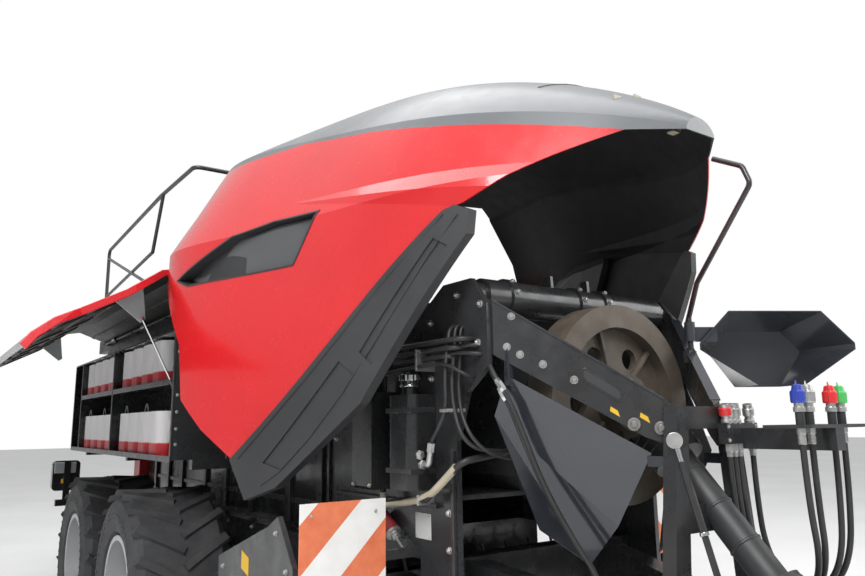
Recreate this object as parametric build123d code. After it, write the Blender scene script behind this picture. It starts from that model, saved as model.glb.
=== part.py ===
from build123d import *
import math
import os

# Large square baler, parked on its jack with hood, side doors and flywheel shield open.
# Frame: millimetres, +X is the machine's left, -Y is forward, +Z is up, floor at z = 0.
# The origin is the middle of the footprint.

# Overall places along the machine
FRONT_END = -4350.0          # front of the hitch eye
REAR_END = 4350.0            # rear of the bale chute
FRAME_FRONT = -1480.0        # front of the chassis rails, behind the pick-up
FRAME_REAR = 3300.0          # rear of the chassis rails

# Bale chamber
CHAMBER_WIDTH = 1200.0       # inside
CHAMBER_HEIGHT = 900.0       # inside
CHAMBER_FLOOR_Z = 1000.0     # inside face of the floor
CHAMBER_WALL = 12.0
CHAMBER_FRONT = -1500.0
CHAMBER_REAR = 3000.0

# Crop inlet: curved duct under the chamber and its mouth in the chamber floor
DUCT_FRONT_Y = -1250.0
DUCT_CENTRE_Z = 1190.0       # centre of both curved walls, above the front of the duct
DUCT_OUT_R = 630.0
DUCT_IN_R = 330.0
DUCT_WALL = 12.0

# Chassis
RAIL_WIDTH = 110.0
RAIL_HEIGHT = 180.0
RAIL_GAP = 6.0               # between a rail and the chamber wall
CROSS_MEMBER = 110.0

# Wheels
TYRE_D = 1200.0
TYRE_WIDTH = 560.0
RIM_D = 620.0
WHEEL_X = 1180.0             # middle of a tyre
AXLE_FRONT_Y = -90.0
AXLE_REAR_Y = 1350.0
AXLE_TUBE = 140.0
AXLE_HALF = 830.0
SPINDLE_D = 100.0
HUB_D = 240.0
HUB_IN_X = 850.0
HUB_OUT_X = 1110.0
SPINDLE_SHORT = 30.0         # the spindle ends inside the hub
LUG_COUNT = 20               # lugs in one row of a tyre
LUG_HEIGHT = 22.0
BOGIE_WIDTH = 80.0

# Front frame
PLATE_THICK = 24.0
CROSS_TUBE_D = 160.0
CROSS_TUBE_HALF = 566.0
CROSS_TUBE_Y = -2570.0
CROSS_TUBE_Z = 2110.0
BEAM_THICK = 30.0
BEAM_REAR = (600.0, -2700.0, 2070.0)
BEAM_FRONT = (150.0, -3200.0, 1640.0)
BEAM_REAR_DEPTH = 230.0
BEAM_FRONT_DEPTH = 150.0
POST_FRONT_Y = -3260.0
POST_REAR_Y = -3200.0
POST_TOP_Z = 1625.0

# Guard sheet under a brace, left-hand side: named corners (x, y, z)
GUARD_SHEET = 5.0
GUARD_POINTS = {
    "top_rear": (575.0, -2745.0, 1760.0),
    "top_front": (190.0, -3130.0, 1450.0),
    "fold_front": (215.0, -2965.0, 1165.0),
    "fold_rear": (575.0, -2660.0, 1600.0),
    "foot_front": (218.0, -2810.0, 1000.0),
    "foot_rear": (435.0, -2753.0, 1150.0),
}

# Holder for the hose couplings
HOLDER_X = 190.0
HOLDER_HALF = 190.0
HOLDER_FRONT_Y = -3660.0
HOLDER_Z = 1540.0
HOLDER_PLATE = 12.0

# Hanging hoses: their common course in (y, z), and the x of each at those places
HOSE_D = 22.0
HOSE_SIDE = (
    (-3600.0, 1540.0), (-3600.0, 1300.0), (-3590.0, 1060.0), (-3500.0, 940.0), (-3385.0, 940.0),
    (-3295.0, 1060.0), (-3285.0, 1270.0), (-3285.0, 1480.0),
)
HOSE_PLACES = {
    "hose_1": (40.0, 40.0, 104.0, 146.0, 152.0, 122.0, 81.0, 81.0),
    "hose_2": (104.0, 104.0, 146.0, 182.0, 186.0, 155.0, 114.0, 114.0),
    "hose_3": (262.0, 262.0, 246.0, 228.0, 222.0, 190.0, 147.0, 147.0),
    "hose_4": (332.0, 332.0, 306.0, 282.0, 272.0, 256.0, 239.0, 239.0),
}
HOSE_BLOCK_X = (55.0, 262.0)

# Drawbar
DRAWBAR_Z = 640.0
DRAWBAR_HEIGHT = 180.0
DRAWBAR_WIDTH = 110.0
DRAWBAR_REAR_X = 430.0
DRAWBAR_REAR_Y = -2200.0     # ahead of the raised pick-up
DRAWBAR_SEAT = 110.0         # cross member between the front plates
DRAWBAR_FRONT_X = 75.0
DRAWBAR_FRONT_Y = -3900.0
NOSE_FRONT_Y = -4120.0
EYE_D = 150.0
EYE_BORE = 50.0
EYE_THICK = 60.0

# Jack
JACK_GAP = 18.0              # between the jack and the drawbar beam
JACK_Y = -3650.0
JACK_TUBE = 110.0
JACK_LEG_D = 80.0
JACK_TUBE_FOOT_Z = 330.0
JACK_TUBE_TOP_Z = 1000.0
JACK_LEG_TOP_Z = 600.0
JACK_FOOT = 220.0
JACK_FOOT_THICK = 12.0

# Flywheel and drive
FLYWHEEL_D = 860.0
FLYWHEEL_RIM = 100.0         # radial height of the heavy rim
FLYWHEEL_THICK = 150.0
FLYWHEEL_Y = -2850.0         # front face
FLYWHEEL_Z = 1650.0
SHAFT_D = 80.0
SNOUT_D = 180.0
GEARBOX_FRONT = -2480.0
GEARBOX_REAR = -1800.0
GEARBOX_HALF = 320.0
GEARBOX_FOOT_Z = 1270.0
GEARBOX_TOP_Z = 1960.0
PTO_REAR = (0.0, -2990.0, 1560.0)
PTO_FRONT = (0.0, -3600.0, 860.0)
PTO_D = 120.0

# Flywheel shield
SHIELD_HALF = 385.0
SHIELD_FRONT_Y = -3120.0
SHIELD_REAR_Y = -2900.0
SHIELD_FOOT_Z = 1730.0       # foot of the narrow part, above the braces
SHIELD_FOOT_HALF = 118.0
SHIELD_BASE_Z = 1895.0
SHIELD_TOP_Z = 2080.0
SHIELD_HINGE_X = 425.0
SHIELD_HINGE_Y = -2905.0
SHIELD_PIN_D = 24.0
SHIELD_OPEN = 150.0          # degrees swung to the left
SHIELD_WALL = 5.0

# Hood, in its raised place
HOOD_HINGE_Y = -380.0
HOOD_HINGE_Z = 2950.0
HOOD_WALL = 8.0
HOOD_FOOT_Z = 1000.0
CREASE_Z = 2560.0
HOOD_PIN_D = 40.0
HOOD_ARM_X = 450.0
HOOD_ARM_THICK = 20.0
SKIRT_PROUD = 12.0
SKIRT_DEPTH = 42.0
RECESS_DEPTH = 9.0
SCOOP_DEPTH = 60.0

# Side doors
DOOR_HINGE_OUT = 40.0        # hinge line outside the deck
DOOR_HINGE_Z = 2400.0
DOOR_REAR_Y = 2960.0
DOOR_OPEN = 54.0             # degrees from closed
DOOR_WALL = 24.0
DOOR_PIN_D = 24.0

# Twine boxes
BOX_OUT_X = 1262.0
BOX_IN_X = 930.0
BOX_FRONT_Y = -500.0
BOX_REAR_Y = 2800.0
SHELF_LOW_Z = 1390.0
SHELF_MID_Z = 1850.0
BOX_TOP_Z = 2160.0
BOX_SHEET = 12.0
BALL_D = 260.0               # across a wrapped pack of twine
BALL_HEIGHT = 285.0
BALL_CORNER = 70.0
BALL_PITCH = 290.0
BALLS_PER_BAY = 4
BAY_STARTS = (35.0, 1404.0)  # middle of the first ball in each bay

# Roof deck
DECK_FRONT_Y = -470.0
DECK_REAR_Y = 2960.0
DECK_HALF = 960.0
DECK_FOOT_Z = 2300.0
DECK_TOP_Z = 2480.0
DECK_WALL = 10.0
RAILING_BRACE_Y = 600.0
FRAME_TUBE = 60.0
ROOF_FRAMES_Y = (-440.0, 1200.0, 2880.0)

# Pick-up, drawn lowered and then raised about its pivot
PICKUP_PIVOT_Y = -1000.0
PICKUP_PIVOT_Z = 740.0
PICKUP_RAISED = 18.0         # degrees
PICKUP_PIN_D = 40.0
LUG_INSET = 12.0
LUG_THICK = 20.0
REEL_Y = -1750.0
REEL_Z = 360.0
REEL_TIP_R = 330.0
REEL_BAND_R = 245.0
REEL_HALF = 1080.0
TINES_PER_BAR = 12
TINE_BARS = 4
GAUGE_D = 400.0
GAUGE_WIDTH = 130.0
GAUGE_X = 1310.0
GAUGE_Y = -1430.0
GAUGE_Z = 203.0

# Warning plates in front of the wheels
HAZARD_IN_X = 820.0
HAZARD_OUT_X = 1221.0
HAZARD_ARM_X = 1100.0

# Rear
CHUTE_PIN_D = 36.0
CHUTE_SIDE = 25.0            # thickness of a side beam
CHUTE_HINGE_Y = 3350.0
CHUTE_HINGE_Z = 930.0
CHUTE_HALF = 550.0
CHUTE_ROLLERS = 5

# Fits
PIN_GAP = 0.3
SIDE_GAP = 5.0

# Hood stations: y, half width at the foot, at the crease and at the shoulder, shoulder z, crown z
HOOD_STATIONS = (
    (-470.0, 1296.0, 1292.0, 985.0, 3130.0, 3450.0),
    (-1300.0, 1275.0, 1240.0, 940.0, 3130.0, 3485.0),
    (-2080.0, 1015.0, 990.0, 800.0, 3010.0, 3390.0),
    (-2720.0, 760.0, 755.0, 620.0, 2890.0, 3160.0),
    (-3140.0, 400.0, 390.0, 300.0, 2800.0, 2930.0),
    (-3330.0, 130.0, 120.0, 90.0, 2740.0, 2790.0),
)

# Hood outlines in (y, z), raised: rear edge and front edge of the whole cover
HOOD_REAR_EDGE = (
    (-520.0, 3700.0), (-560.0, 3260.0), (-765.0, 3205.0), (-724.0, 3129.0), (-757.0, 2790.0),
    (-685.0, 2536.0), (-670.0, 2369.0), (-939.0, 2017.0), (-991.0, 1714.0), (-1181.0, 1555.0),
    (-1415.0, 1412.0),
)
HOOD_FRONT_EDGE = (
    (-2640.0, 2440.0), (-2715.0, 2466.0), (-3170.0, 2730.0), (-3400.0, 2720.0), (-3400.0, 3700.0),
)
# Where the red sides end and the grey cap begins
CAP_EDGE = (
    (-400.0, 3200.0), (-790.0, 3115.0), (-1500.0, 3090.0), (-2080.0, 2980.0), (-2490.0, 2880.0),
    (-2850.0, 2800.0), (-3170.0, 2731.0), (-3500.0, 2650.0),
)
SKIRT_OUTLINE = (
    (-1415.0, 1412.0), (-2640.0, 2440.0), (-2690.0, 2457.0), (-2745.0, 2430.0), (-2735.0, 2330.0),
    (-2240.0, 1660.0), (-1730.0, 1290.0), (-1530.0, 1225.0),
)
SKIRT_RECESSES = (
    ((-1640.0, 1400.0), (-1760.0, 1370.0), (-2200.0, 1790.0), (-2110.0, 1850.0)),
    ((-2230.0, 1880.0), (-2300.0, 1820.0), (-2660.0, 2290.0), (-2600.0, 2330.0)),
)
SCOOP_OUTLINE = (
    (-872.0, 2378.0), (-1328.0, 2562.0), (-1600.0, 2598.0), (-1934.0, 2588.0), (-1775.0, 2335.0),
    (-995.0, 2330.0),
)

# Side door, left and shut: skin in (x, z) measured from the hinge line, front edge in (y, z)
DOOR_SKIN = (
    (10.0, 42.0), (240.0, -110.0), (304.0, -240.0), (304.0, -520.0), (345.0, -820.0),
    (360.0, -940.0), (350.0, -1090.0), (326.0, -1175.0),
)
DOOR_FRONT_EDGE = (
    (-533.0, 2500.0), (-533.0, 2150.0), (-690.0, 1925.0), (-700.0, 1614.0), (-850.0, 1419.0),
    (-1050.0, 1200.0),
)

# Door strut of the left side, in (x, z) measured from the door hinge line
STRUT_BASE_AT = (70.0, -930.0)
STRUT_EYE_AT = (450.0, -185.0)
STRUT_Y = -440.0
STRUT_BARREL = 435.0
STRUT_ROD = 440.0
STRUT_BARREL_D = 24.0
STRUT_ROD_D = 12.0
STRUT_PIN_D = 16.0
STRUT_EYE_HALF = 7.0         # half thickness of the barrel's eye
STRUT_BOSS = 17.0            # from the strut's middle to the bracket


def box(x0, x1, y0, y1, z0, z1):
    middle = ((x0 + x1) / 2, (y0 + y1) / 2, (z0 + z1) / 2)
    return Pos(*middle) * Box(abs(x1 - x0), abs(y1 - y0), abs(z1 - z0))


def rod_x(radius, x0, x1, y, z):
    return Pos((x0 + x1) / 2, y, z) * Rot(0, 90, 0) * Cylinder(radius, abs(x1 - x0))


def rod_y(radius, y0, y1, x, z):
    return Pos(x, (y0 + y1) / 2, z) * Rot(90, 0, 0) * Cylinder(radius, abs(y1 - y0))


def rod_z(radius, z0, z1, x, y):
    return Pos(x, y, (z0 + z1) / 2) * Cylinder(radius, abs(z1 - z0))


def rod_between(start, end, radius):
    a = Vector(*start)
    b = Vector(*end)
    return extrude(Plane(origin=a, z_dir=(b - a)) * Circle(radius), amount=(b - a).length)


def beam_between(start, end, width, height):
    a = Vector(*start)
    along = Vector(*end) - a
    plane = Plane(origin=a, x_dir=Vector(0, 0, 1).cross(along), z_dir=along)
    return extrude(plane * Rectangle(width, height), amount=along.length)


def side_plate(points, x0, x1):
    """A plate with its outline in (y, z), from x0 to x1."""
    outline = make_face(Polyline(*points, close=True))
    return extrude(Plane.YZ.offset(x0) * outline, amount=x1 - x0)


def front_plate(points, y0, y1):
    """A plate with its outline in (x, z), from y0 back to y1."""
    plane = Plane(origin=(0, y1, 0), x_dir=(1, 0, 0), z_dir=(0, -1, 0))
    outline = make_face(Polyline(*points, close=True))
    return extrude(plane * outline, amount=y1 - y0)


def pipe(points, bend, radius):
    path = FilletPolyline(*points, radius=bend)
    return sweep(Plane(origin=path @ 0, z_dir=path % 0) * Circle(radius), path=path)


def mirrored(shape):
    return mirror(shape, about=Plane.YZ)


def both(shape):
    return Compound(children=[*shape.solids(), *mirrored(shape).solids()])


def turned(shape, y, z, degrees):
    """Turned about a line along X through (y, z)."""
    return shape.rotate(Axis((0, y, z), (1, 0, 0)), degrees)


def save(name, shape):
    solids = shape.solids()
    body = solids[0] if len(solids) == 1 else Compound(children=list(solids))
    body.label = name
    export_step(body, f"parts/{name}.step")


# Places worked out from the sizes above
CHAMBER_SIDE = CHAMBER_WIDTH / 2 + CHAMBER_WALL
CHAMBER_TOP_Z = CHAMBER_FLOOR_Z + CHAMBER_HEIGHT + CHAMBER_WALL
RAIL_IN_X = CHAMBER_SIDE + RAIL_GAP
RAIL_OUT_X = RAIL_IN_X + RAIL_WIDTH
RAIL_TOP_Z = CHAMBER_FLOOR_Z - CHAMBER_WALL
RAIL_FOOT_Z = RAIL_TOP_Z - RAIL_HEIGHT
AXLE_Z = TYRE_D / 2
PLATE_IN_X = CHAMBER_SIDE
PLATE_OUT_X = PLATE_IN_X + PLATE_THICK
DOOR_HINGE_X = DECK_HALF + DOOR_HINGE_OUT
STRUT_BASE = (DOOR_HINGE_X + STRUT_BASE_AT[0], DOOR_HINGE_Z + STRUT_BASE_AT[1])
STRUT_EYE_OPEN = (DOOR_HINGE_X + STRUT_EYE_AT[0], DOOR_HINGE_Z + STRUT_EYE_AT[1])
RAILING_X = DECK_HALF - 45


def pickup_lugs():
    """Two ears and a pin under the left-hand rail."""
    ears = []
    for x in (RAIL_IN_X + LUG_INSET, RAIL_OUT_X - LUG_INSET - LUG_THICK):
        ears.append(box(x, x + LUG_THICK, PICKUP_PIVOT_Y - 50, PICKUP_PIVOT_Y + 50,
                        PICKUP_PIVOT_Z - 45, RAIL_FOOT_Z))
    pin = rod_x(PICKUP_PIN_D / 2, RAIL_IN_X + LUG_INSET, RAIL_OUT_X - LUG_INSET, PICKUP_PIVOT_Y, PICKUP_PIVOT_Z)
    return ears[0] + ears[1] + pin


def chute_lug():
    lug = box(CHUTE_HALF + SIDE_GAP, CHUTE_HALF + SIDE_GAP + LUG_THICK, FRAME_REAR, CHUTE_HINGE_Y + 40,
              CHUTE_HINGE_Z - 45, CHUTE_HINGE_Z + 45)
    pin = rod_x(CHUTE_PIN_D / 2, CHUTE_HALF - CHUTE_SIDE, CHUTE_HALF + SIDE_GAP, CHUTE_HINGE_Y, CHUTE_HINGE_Z)
    return lug + pin


def chassis_frame():
    """Two rails, the cross members and the ears that carry pick-up and chute."""
    rail = box(RAIL_IN_X, RAIL_OUT_X, FRAME_FRONT, FRAME_REAR, RAIL_FOOT_Z, RAIL_TOP_Z)
    side = rail + pickup_lugs() + chute_lug()
    frame = side + mirrored(side)
    for y in (FRAME_FRONT, -560.0, 700.0, FRAME_REAR - CROSS_MEMBER):
        frame += box(-RAIL_IN_X, RAIL_IN_X, y, y + CROSS_MEMBER, RAIL_FOOT_Z, RAIL_TOP_Z)
    return frame


def bale_chamber():
    """Channel of five plates: two sides, a roof, and a floor that is open above the crop duct."""
    half = CHAMBER_WIDTH / 2
    rise = DUCT_CENTRE_Z - CHAMBER_FLOOR_Z
    near = DUCT_FRONT_Y + math.sqrt(DUCT_IN_R ** 2 - rise ** 2)
    far = DUCT_FRONT_Y + math.sqrt((DUCT_OUT_R - DUCT_WALL) ** 2 - rise ** 2)
    side = box(half, CHAMBER_SIDE, CHAMBER_FRONT, CHAMBER_REAR, RAIL_TOP_Z, CHAMBER_TOP_Z)
    roof = box(-half, half, CHAMBER_FRONT, CHAMBER_REAR, CHAMBER_TOP_Z - CHAMBER_WALL, CHAMBER_TOP_Z)
    front_floor = box(-half, half, CHAMBER_FRONT, near, RAIL_TOP_Z, CHAMBER_FLOOR_Z)
    rear_floor = box(-half, half, far, CHAMBER_REAR, RAIL_TOP_Z, CHAMBER_FLOOR_Z)
    return Compound(children=[side, mirrored(side), roof, front_floor, rear_floor])


def density_frame():
    side = box(RAIL_IN_X + 2, RAIL_IN_X + 82, 2500, 2700, RAIL_TOP_Z, 2060)
    side += box(CHAMBER_SIDE, RAIL_IN_X + 2, 2540, 2660, 1400, 1500)
    frame = side + mirrored(side)
    frame += box(-RAIL_IN_X - 2, RAIL_IN_X + 2, 2500, 2560, 1980, 2060)
    frame += box(-RAIL_IN_X - 2, RAIL_IN_X + 2, 2640, 2700, 1980, 2060)
    for x in (-300.0, 300.0):
        frame += rod_z(55, CHAMBER_TOP_Z, 2060, x, 2600)
        frame += box(x - 60, x + 60, 2560, 2640, 1990, 2050)
    return frame


def curved_wall(radius):
    wall = rod_x(radius, -RAIL_IN_X, RAIL_IN_X, DUCT_FRONT_Y, DUCT_CENTRE_Z)
    wall -= rod_x(radius - DUCT_WALL, -RAIL_OUT_X, RAIL_OUT_X, DUCT_FRONT_Y, DUCT_CENTRE_Z)
    return wall & box(-RAIL_IN_X, RAIL_IN_X, DUCT_FRONT_Y, 0, 0, RAIL_TOP_Z)


def feeder_duct():
    """Curved duct that lifts the crop from the pick-up into the chamber."""
    space = rod_x(DUCT_OUT_R, RAIL_IN_X - DUCT_WALL, RAIL_IN_X, DUCT_FRONT_Y, DUCT_CENTRE_Z)
    side = space & box(-RAIL_OUT_X, RAIL_OUT_X, DUCT_FRONT_Y, 0, 0, RAIL_TOP_Z)
    return curved_wall(DUCT_OUT_R) + curved_wall(DUCT_IN_R + DUCT_WALL) + side + mirrored(side)


def axle(y):
    half = AXLE_TUBE / 2
    beam = box(-AXLE_HALF, AXLE_HALF, y - half, y + half, AXLE_Z - half, AXLE_Z + half)
    beam = fillet(beam.edges().filter_by(Axis.X), 18)
    spindle = rod_x(SPINDLE_D / 2, AXLE_HALF, HUB_OUT_X - SPINDLE_SHORT, y, AXLE_Z)
    return beam + spindle + mirrored(spindle)


def bogie():
    foot = AXLE_Z + AXLE_TUBE / 2
    mid = (AXLE_FRONT_Y + AXLE_REAR_Y) / 2
    outline = (
        (AXLE_FRONT_Y - 110, foot), (AXLE_REAR_Y + 110, foot), (AXLE_REAR_Y + 110, foot + 60),
        (mid + 130, RAIL_FOOT_Z), (mid - 130, RAIL_FOOT_Z), (AXLE_FRONT_Y - 110, foot + 60),
    )
    near = RAIL_IN_X + (RAIL_WIDTH - BOGIE_WIDTH) / 2
    return side_plate(outline, near, near + BOGIE_WIDTH)


def undercarriage():
    """Tandem axles with the long beam on each side that hangs them under the rails."""
    beam = bogie()
    return axle(AXLE_FRONT_Y) + axle(AXLE_REAR_Y) + beam + mirrored(beam)


def rim(y, side):
    """Dished disc wheel with its hub, open at the spindle."""
    half = TYRE_WIDTH / 2 - 30
    edge = RIM_D / 2
    dish = HUB_OUT_X - WHEEL_X
    profile = (
        (-half, edge - 14), (-half, edge + 16), (-half + 16, edge + 16), (-half + 22, edge),
        (half - 22, edge), (half - 16, edge + 16), (half, edge + 16), (half, edge - 14),
        (dish + 60, edge - 14), (dish + 30, edge - 60), (dish, HUB_D / 2),
        (dish, 0), (dish - 14, 0), (dish - 14, SPINDLE_D / 2 + PIN_GAP),
        (HUB_IN_X - WHEEL_X, SPINDLE_D / 2 + PIN_GAP), (HUB_IN_X - WHEEL_X, HUB_D / 2),
        (dish - 14, HUB_D / 2), (dish + 14, edge - 66), (dish + 30, edge - 14),
    )
    face = make_face(Polyline(*profile, close=True))
    wheel = revolve(Plane.XY * face, axis=Axis.X)
    if side < 0:
        wheel = mirrored(wheel)
    return Pos(side * WHEEL_X, y, AXLE_Z) * wheel


def tyre(y, side):
    half = TYRE_WIDTH / 2
    top = TYRE_D / 2 - LUG_HEIGHT
    bead = RIM_D / 2
    profile = (
        (-half + 52, bead), (-half + 52, bead + 20), (-half + 20, bead + 42), (-half, (bead + top) / 2),
        (-half + 18, top - 50), (-half + 60, top - 8), (0, top), (half - 60, top - 8),
        (half - 18, top - 50), (half, (bead + top) / 2), (half - 20, bead + 42),
        (half - 52, bead + 20), (half - 52, bead),
    )
    face = make_face(Polyline(*profile, close=True))
    carcass = revolve(Plane.XY * face, axis=Axis.X)
    shape = carcass
    lug = loft([
        Pos(0, 0, top - 24) * Rot(0, 0, 32) * Rectangle(half + 40, 62),
        Pos(0, 0, TYRE_D / 2 - 8) * Rot(0, 0, 32) * Rectangle(half + 20, 40),
    ])
    lugs = []
    for row in (-1, 1):
        blank = Pos(row * (half / 2 - 14), 0, 0) * (lug if row > 0 else mirrored(lug))
        for i in range(LUG_COUNT):
            angle = 360 / LUG_COUNT * (i + (0.5 if row > 0 else 0))
            lugs.append(Rot(angle, 0, 0) * blank)
    shape = carcass + lugs
    return Pos(side * WHEEL_X, y, AXLE_Z) * shape


def front_frame():
    outline = (
        (-2480, RAIL_FOOT_Z), (DRAWBAR_REAR_Y, RAIL_FOOT_Z), (DRAWBAR_REAR_Y, RAIL_TOP_Z),
        (-1300, RAIL_TOP_Z),
        (-1300, 1900), (-2050, 1960), (-2400, 2180), (-2600, 2180), (-2655, 2110),
        (-2700, 2060), (-2700, 1800), (-2560, 1700), (-2480, 1500),
    )
    plate = side_plate(outline, PLATE_IN_X, PLATE_OUT_X)
    floor = box(-PLATE_IN_X, PLATE_IN_X, -2440, -1560, GEARBOX_FOOT_Z - 20, GEARBOX_FOOT_Z)
    arm = box(PLATE_OUT_X, HAZARD_ARM_X, DRAWBAR_REAR_Y, DRAWBAR_REAR_Y + 30, 1000, 1040)
    return plate + mirrored(plate) + floor + arm + mirrored(arm)


def cross_tube():
    tube = rod_x(CROSS_TUBE_D / 2, -CROSS_TUBE_HALF, CROSS_TUBE_HALF, CROSS_TUBE_Y, CROSS_TUBE_Z)
    end = rod_x(62, CROSS_TUBE_HALF, PLATE_IN_X, CROSS_TUBE_Y, CROSS_TUBE_Z)
    shape = tube + end + mirrored(end)
    for x in (-420.0, 0.0, 170.0):
        shape += rod_x(CROSS_TUBE_D / 2 + 10, x - 22, x + 22, CROSS_TUBE_Y, CROSS_TUBE_Z)
    for x in (-150.0, 90.0):
        lug = ((CROSS_TUBE_Y - 30, CROSS_TUBE_Z), (CROSS_TUBE_Y + 30, CROSS_TUBE_Z),
               (CROSS_TUBE_Y + 20, CROSS_TUBE_Z + 130), (CROSS_TUBE_Y - 20, CROSS_TUBE_Z + 130))
        shape += side_plate(lug, x - 8, x + 8)
    return shape


def upper_beam():
    """Right-hand brace in the upright plane through its two ends, with a long pocket."""
    x0, y0, z0 = BEAM_REAR
    x1, y1, z1 = BEAM_FRONT
    rear = Vector(x0, y0, 0)
    front = Vector(x1, y1, 0)
    run = (front - rear).normalized()
    start = rear - run * 60
    length = (front - start).length + 60
    plane = Plane(origin=start, x_dir=run, z_dir=run.cross(Vector(0, 0, 1)))
    rise = z0 + (z0 - z1) * 60 / (front - rear).length
    fall = z1 - (z0 - z1) * 60 / (front - rear).length
    outline = (
        (0, rise), (length, fall), (length, fall - BEAM_FRONT_DEPTH), (length * 0.8, fall - 90),
        (0, rise - BEAM_REAR_DEPTH),
    )
    sheet = extrude(plane * make_face(Polyline(*outline, close=True)), amount=BEAM_THICK / 2, both=True)
    sheet -= box(PLATE_IN_X, 900, -3000, -2000, 1000, 2400)
    sheet -= box(-900, 900, -4000, POST_REAR_Y, 1000, 2400)
    return sheet


def guard():
    """Folded sheet under the left-hand brace, in flat three-cornered facets."""
    facets = (("top_rear", "top_front", "fold_front"), ("top_rear", "fold_front", "fold_rear"),
              ("fold_rear", "fold_front", "foot_front"), ("fold_rear", "foot_front", "foot_rear"))
    sheet = None
    for facet in facets:
        wire = Wire.make_polygon([Vector(*GUARD_POINTS[name]) for name in facet])
        leaf = extrude(Face(wire), amount=GUARD_SHEET / 2, both=True)
        sheet = leaf if sheet is None else sheet + leaf
    x, y, z = GUARD_POINTS["top_front"]
    sheet += box(x - 30, x + 10, POST_REAR_Y, y + 15, z - 50, z - 10)
    x, y, z = GUARD_POINTS["top_rear"]
    sheet += box(x - 25, x + 5, y - 10, y + 10, z - 40, z + 120)
    return sheet - upper_beam()


def drawbar_middle(y):
    """Distance of a drawbar beam's middle from the machine's middle, at y."""
    rear = DRAWBAR_REAR_Y - DRAWBAR_SEAT / 2
    front = DRAWBAR_FRONT_Y - 60
    return DRAWBAR_REAR_X + (DRAWBAR_FRONT_X - DRAWBAR_REAR_X) * (y - rear) / (front - rear)


JACK_X = -(drawbar_middle(JACK_Y + JACK_TUBE / 2) + DRAWBAR_WIDTH / 2 + JACK_GAP + JACK_TUBE / 2)


def drawbar_beams():
    half = DRAWBAR_HEIGHT / 2
    rear = DRAWBAR_REAR_Y - DRAWBAR_SEAT / 2
    beam = beam_between((DRAWBAR_REAR_X, rear, RAIL_FOOT_Z + half),
                        (DRAWBAR_FRONT_X, DRAWBAR_FRONT_Y - 60, DRAWBAR_Z), DRAWBAR_WIDTH, DRAWBAR_HEIGHT)
    beam -= box(-900, 900, rear, DRAWBAR_REAR_Y + 400, 0, 2000)
    beam -= box(-900, 900, DRAWBAR_FRONT_Y - 400, DRAWBAR_FRONT_Y, 0, 2000)
    return beam


def drawbar():
    beam = drawbar_beams()
    nose = box(-130, 130, NOSE_FRONT_Y, DRAWBAR_FRONT_Y, DRAWBAR_Z - 90, DRAWBAR_Z + 90)
    nose = chamfer(nose.edges().filter_by(Axis.Z).group_by(Axis.Y)[0], 60)
    seat = box(-PLATE_IN_X, PLATE_IN_X, DRAWBAR_REAR_Y - DRAWBAR_SEAT, DRAWBAR_REAR_Y,
               RAIL_FOOT_Z, RAIL_TOP_Z)
    return beam + mirrored(beam) + nose + seat


def hitch_eye():
    y = FRONT_END + EYE_D / 2
    half = EYE_THICK / 2
    eye = rod_z(EYE_D / 2, DRAWBAR_Z - half, DRAWBAR_Z + half, 0, y)
    eye += box(-45, 45, y, NOSE_FRONT_Y, DRAWBAR_Z - half, DRAWBAR_Z + half)
    return eye - rod_z(EYE_BORE / 2, DRAWBAR_Z - 100, DRAWBAR_Z + 100, 0, y)


def hose_arm():
    """Arm with a cross plate that parks the hose couplings, and the block the hoses come from."""
    arm = box(HOLDER_X - 30, HOLDER_X + 30, HOLDER_FRONT_Y, POST_FRONT_Y, HOLDER_Z - 80, HOLDER_Z)
    plate = box(HOLDER_X - HOLDER_HALF, HOLDER_X + HOLDER_HALF, HOLDER_FRONT_Y, HOLDER_FRONT_Y + 180,
                HOLDER_Z, HOLDER_Z + HOLDER_PLATE)
    foot_z = HOSE_SIDE[-1][1]
    block = box(HOSE_BLOCK_X[0], HOSE_BLOCK_X[1], POST_FRONT_Y - 40, POST_FRONT_Y, foot_z, foot_z + 80)
    shape = arm + plate + block
    for places in HOSE_PLACES.values():
        shape += rod_z(HOSE_D * 0.7, HOLDER_Z, HOLDER_Z + HOLDER_PLATE + 48, places[0], HOSE_SIDE[0][0])
    return shape


def hose(places):
    """A hanging hose: straight runs joined by arcs as large as the runs allow."""
    points = [Vector(x, y, z) for x, (y, z) in zip(places, HOSE_SIDE)]
    radii = []
    for a, b, c in zip(points, points[1:], points[2:]):
        turn = (b - a).get_angle(c - b)
        radii.append(0.45 * min((b - a).length, (c - b).length) / math.tan(math.radians(turn / 2)))
    print("hose radii", [round(r) for r in radii])
    path = FilletPolyline(*points, radius=radii)
    return sweep(Plane(origin=path @ 0, z_dir=path % 0) * Circle(HOSE_D / 2), path=path)


def fixed_hoses():
    """Hoses clipped to the right-hand side, each held along its whole length."""
    side = -(PLATE_OUT_X + 66)
    shapes = []
    for i in range(3):
        y = -1915.0 - 45 * i
        z = 1850.0 + 34 * i
        shapes.append(pipe(((side, y, 1720), (side, y, z), (side, -2520 - 45 * i, z),
                            (-PLATE_OUT_X, -2520 - 45 * i, z)), 45, 12))
    shapes.append(pipe(((side, -1990, 1280), (side, -1990, 1212), (side, -2345, 1255), (side, -2600, 1420),
                        (-260, -2600, 1480), (-260, GEARBOX_FRONT, 1480)), 45, 14))
    return Compound(children=shapes)


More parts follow.
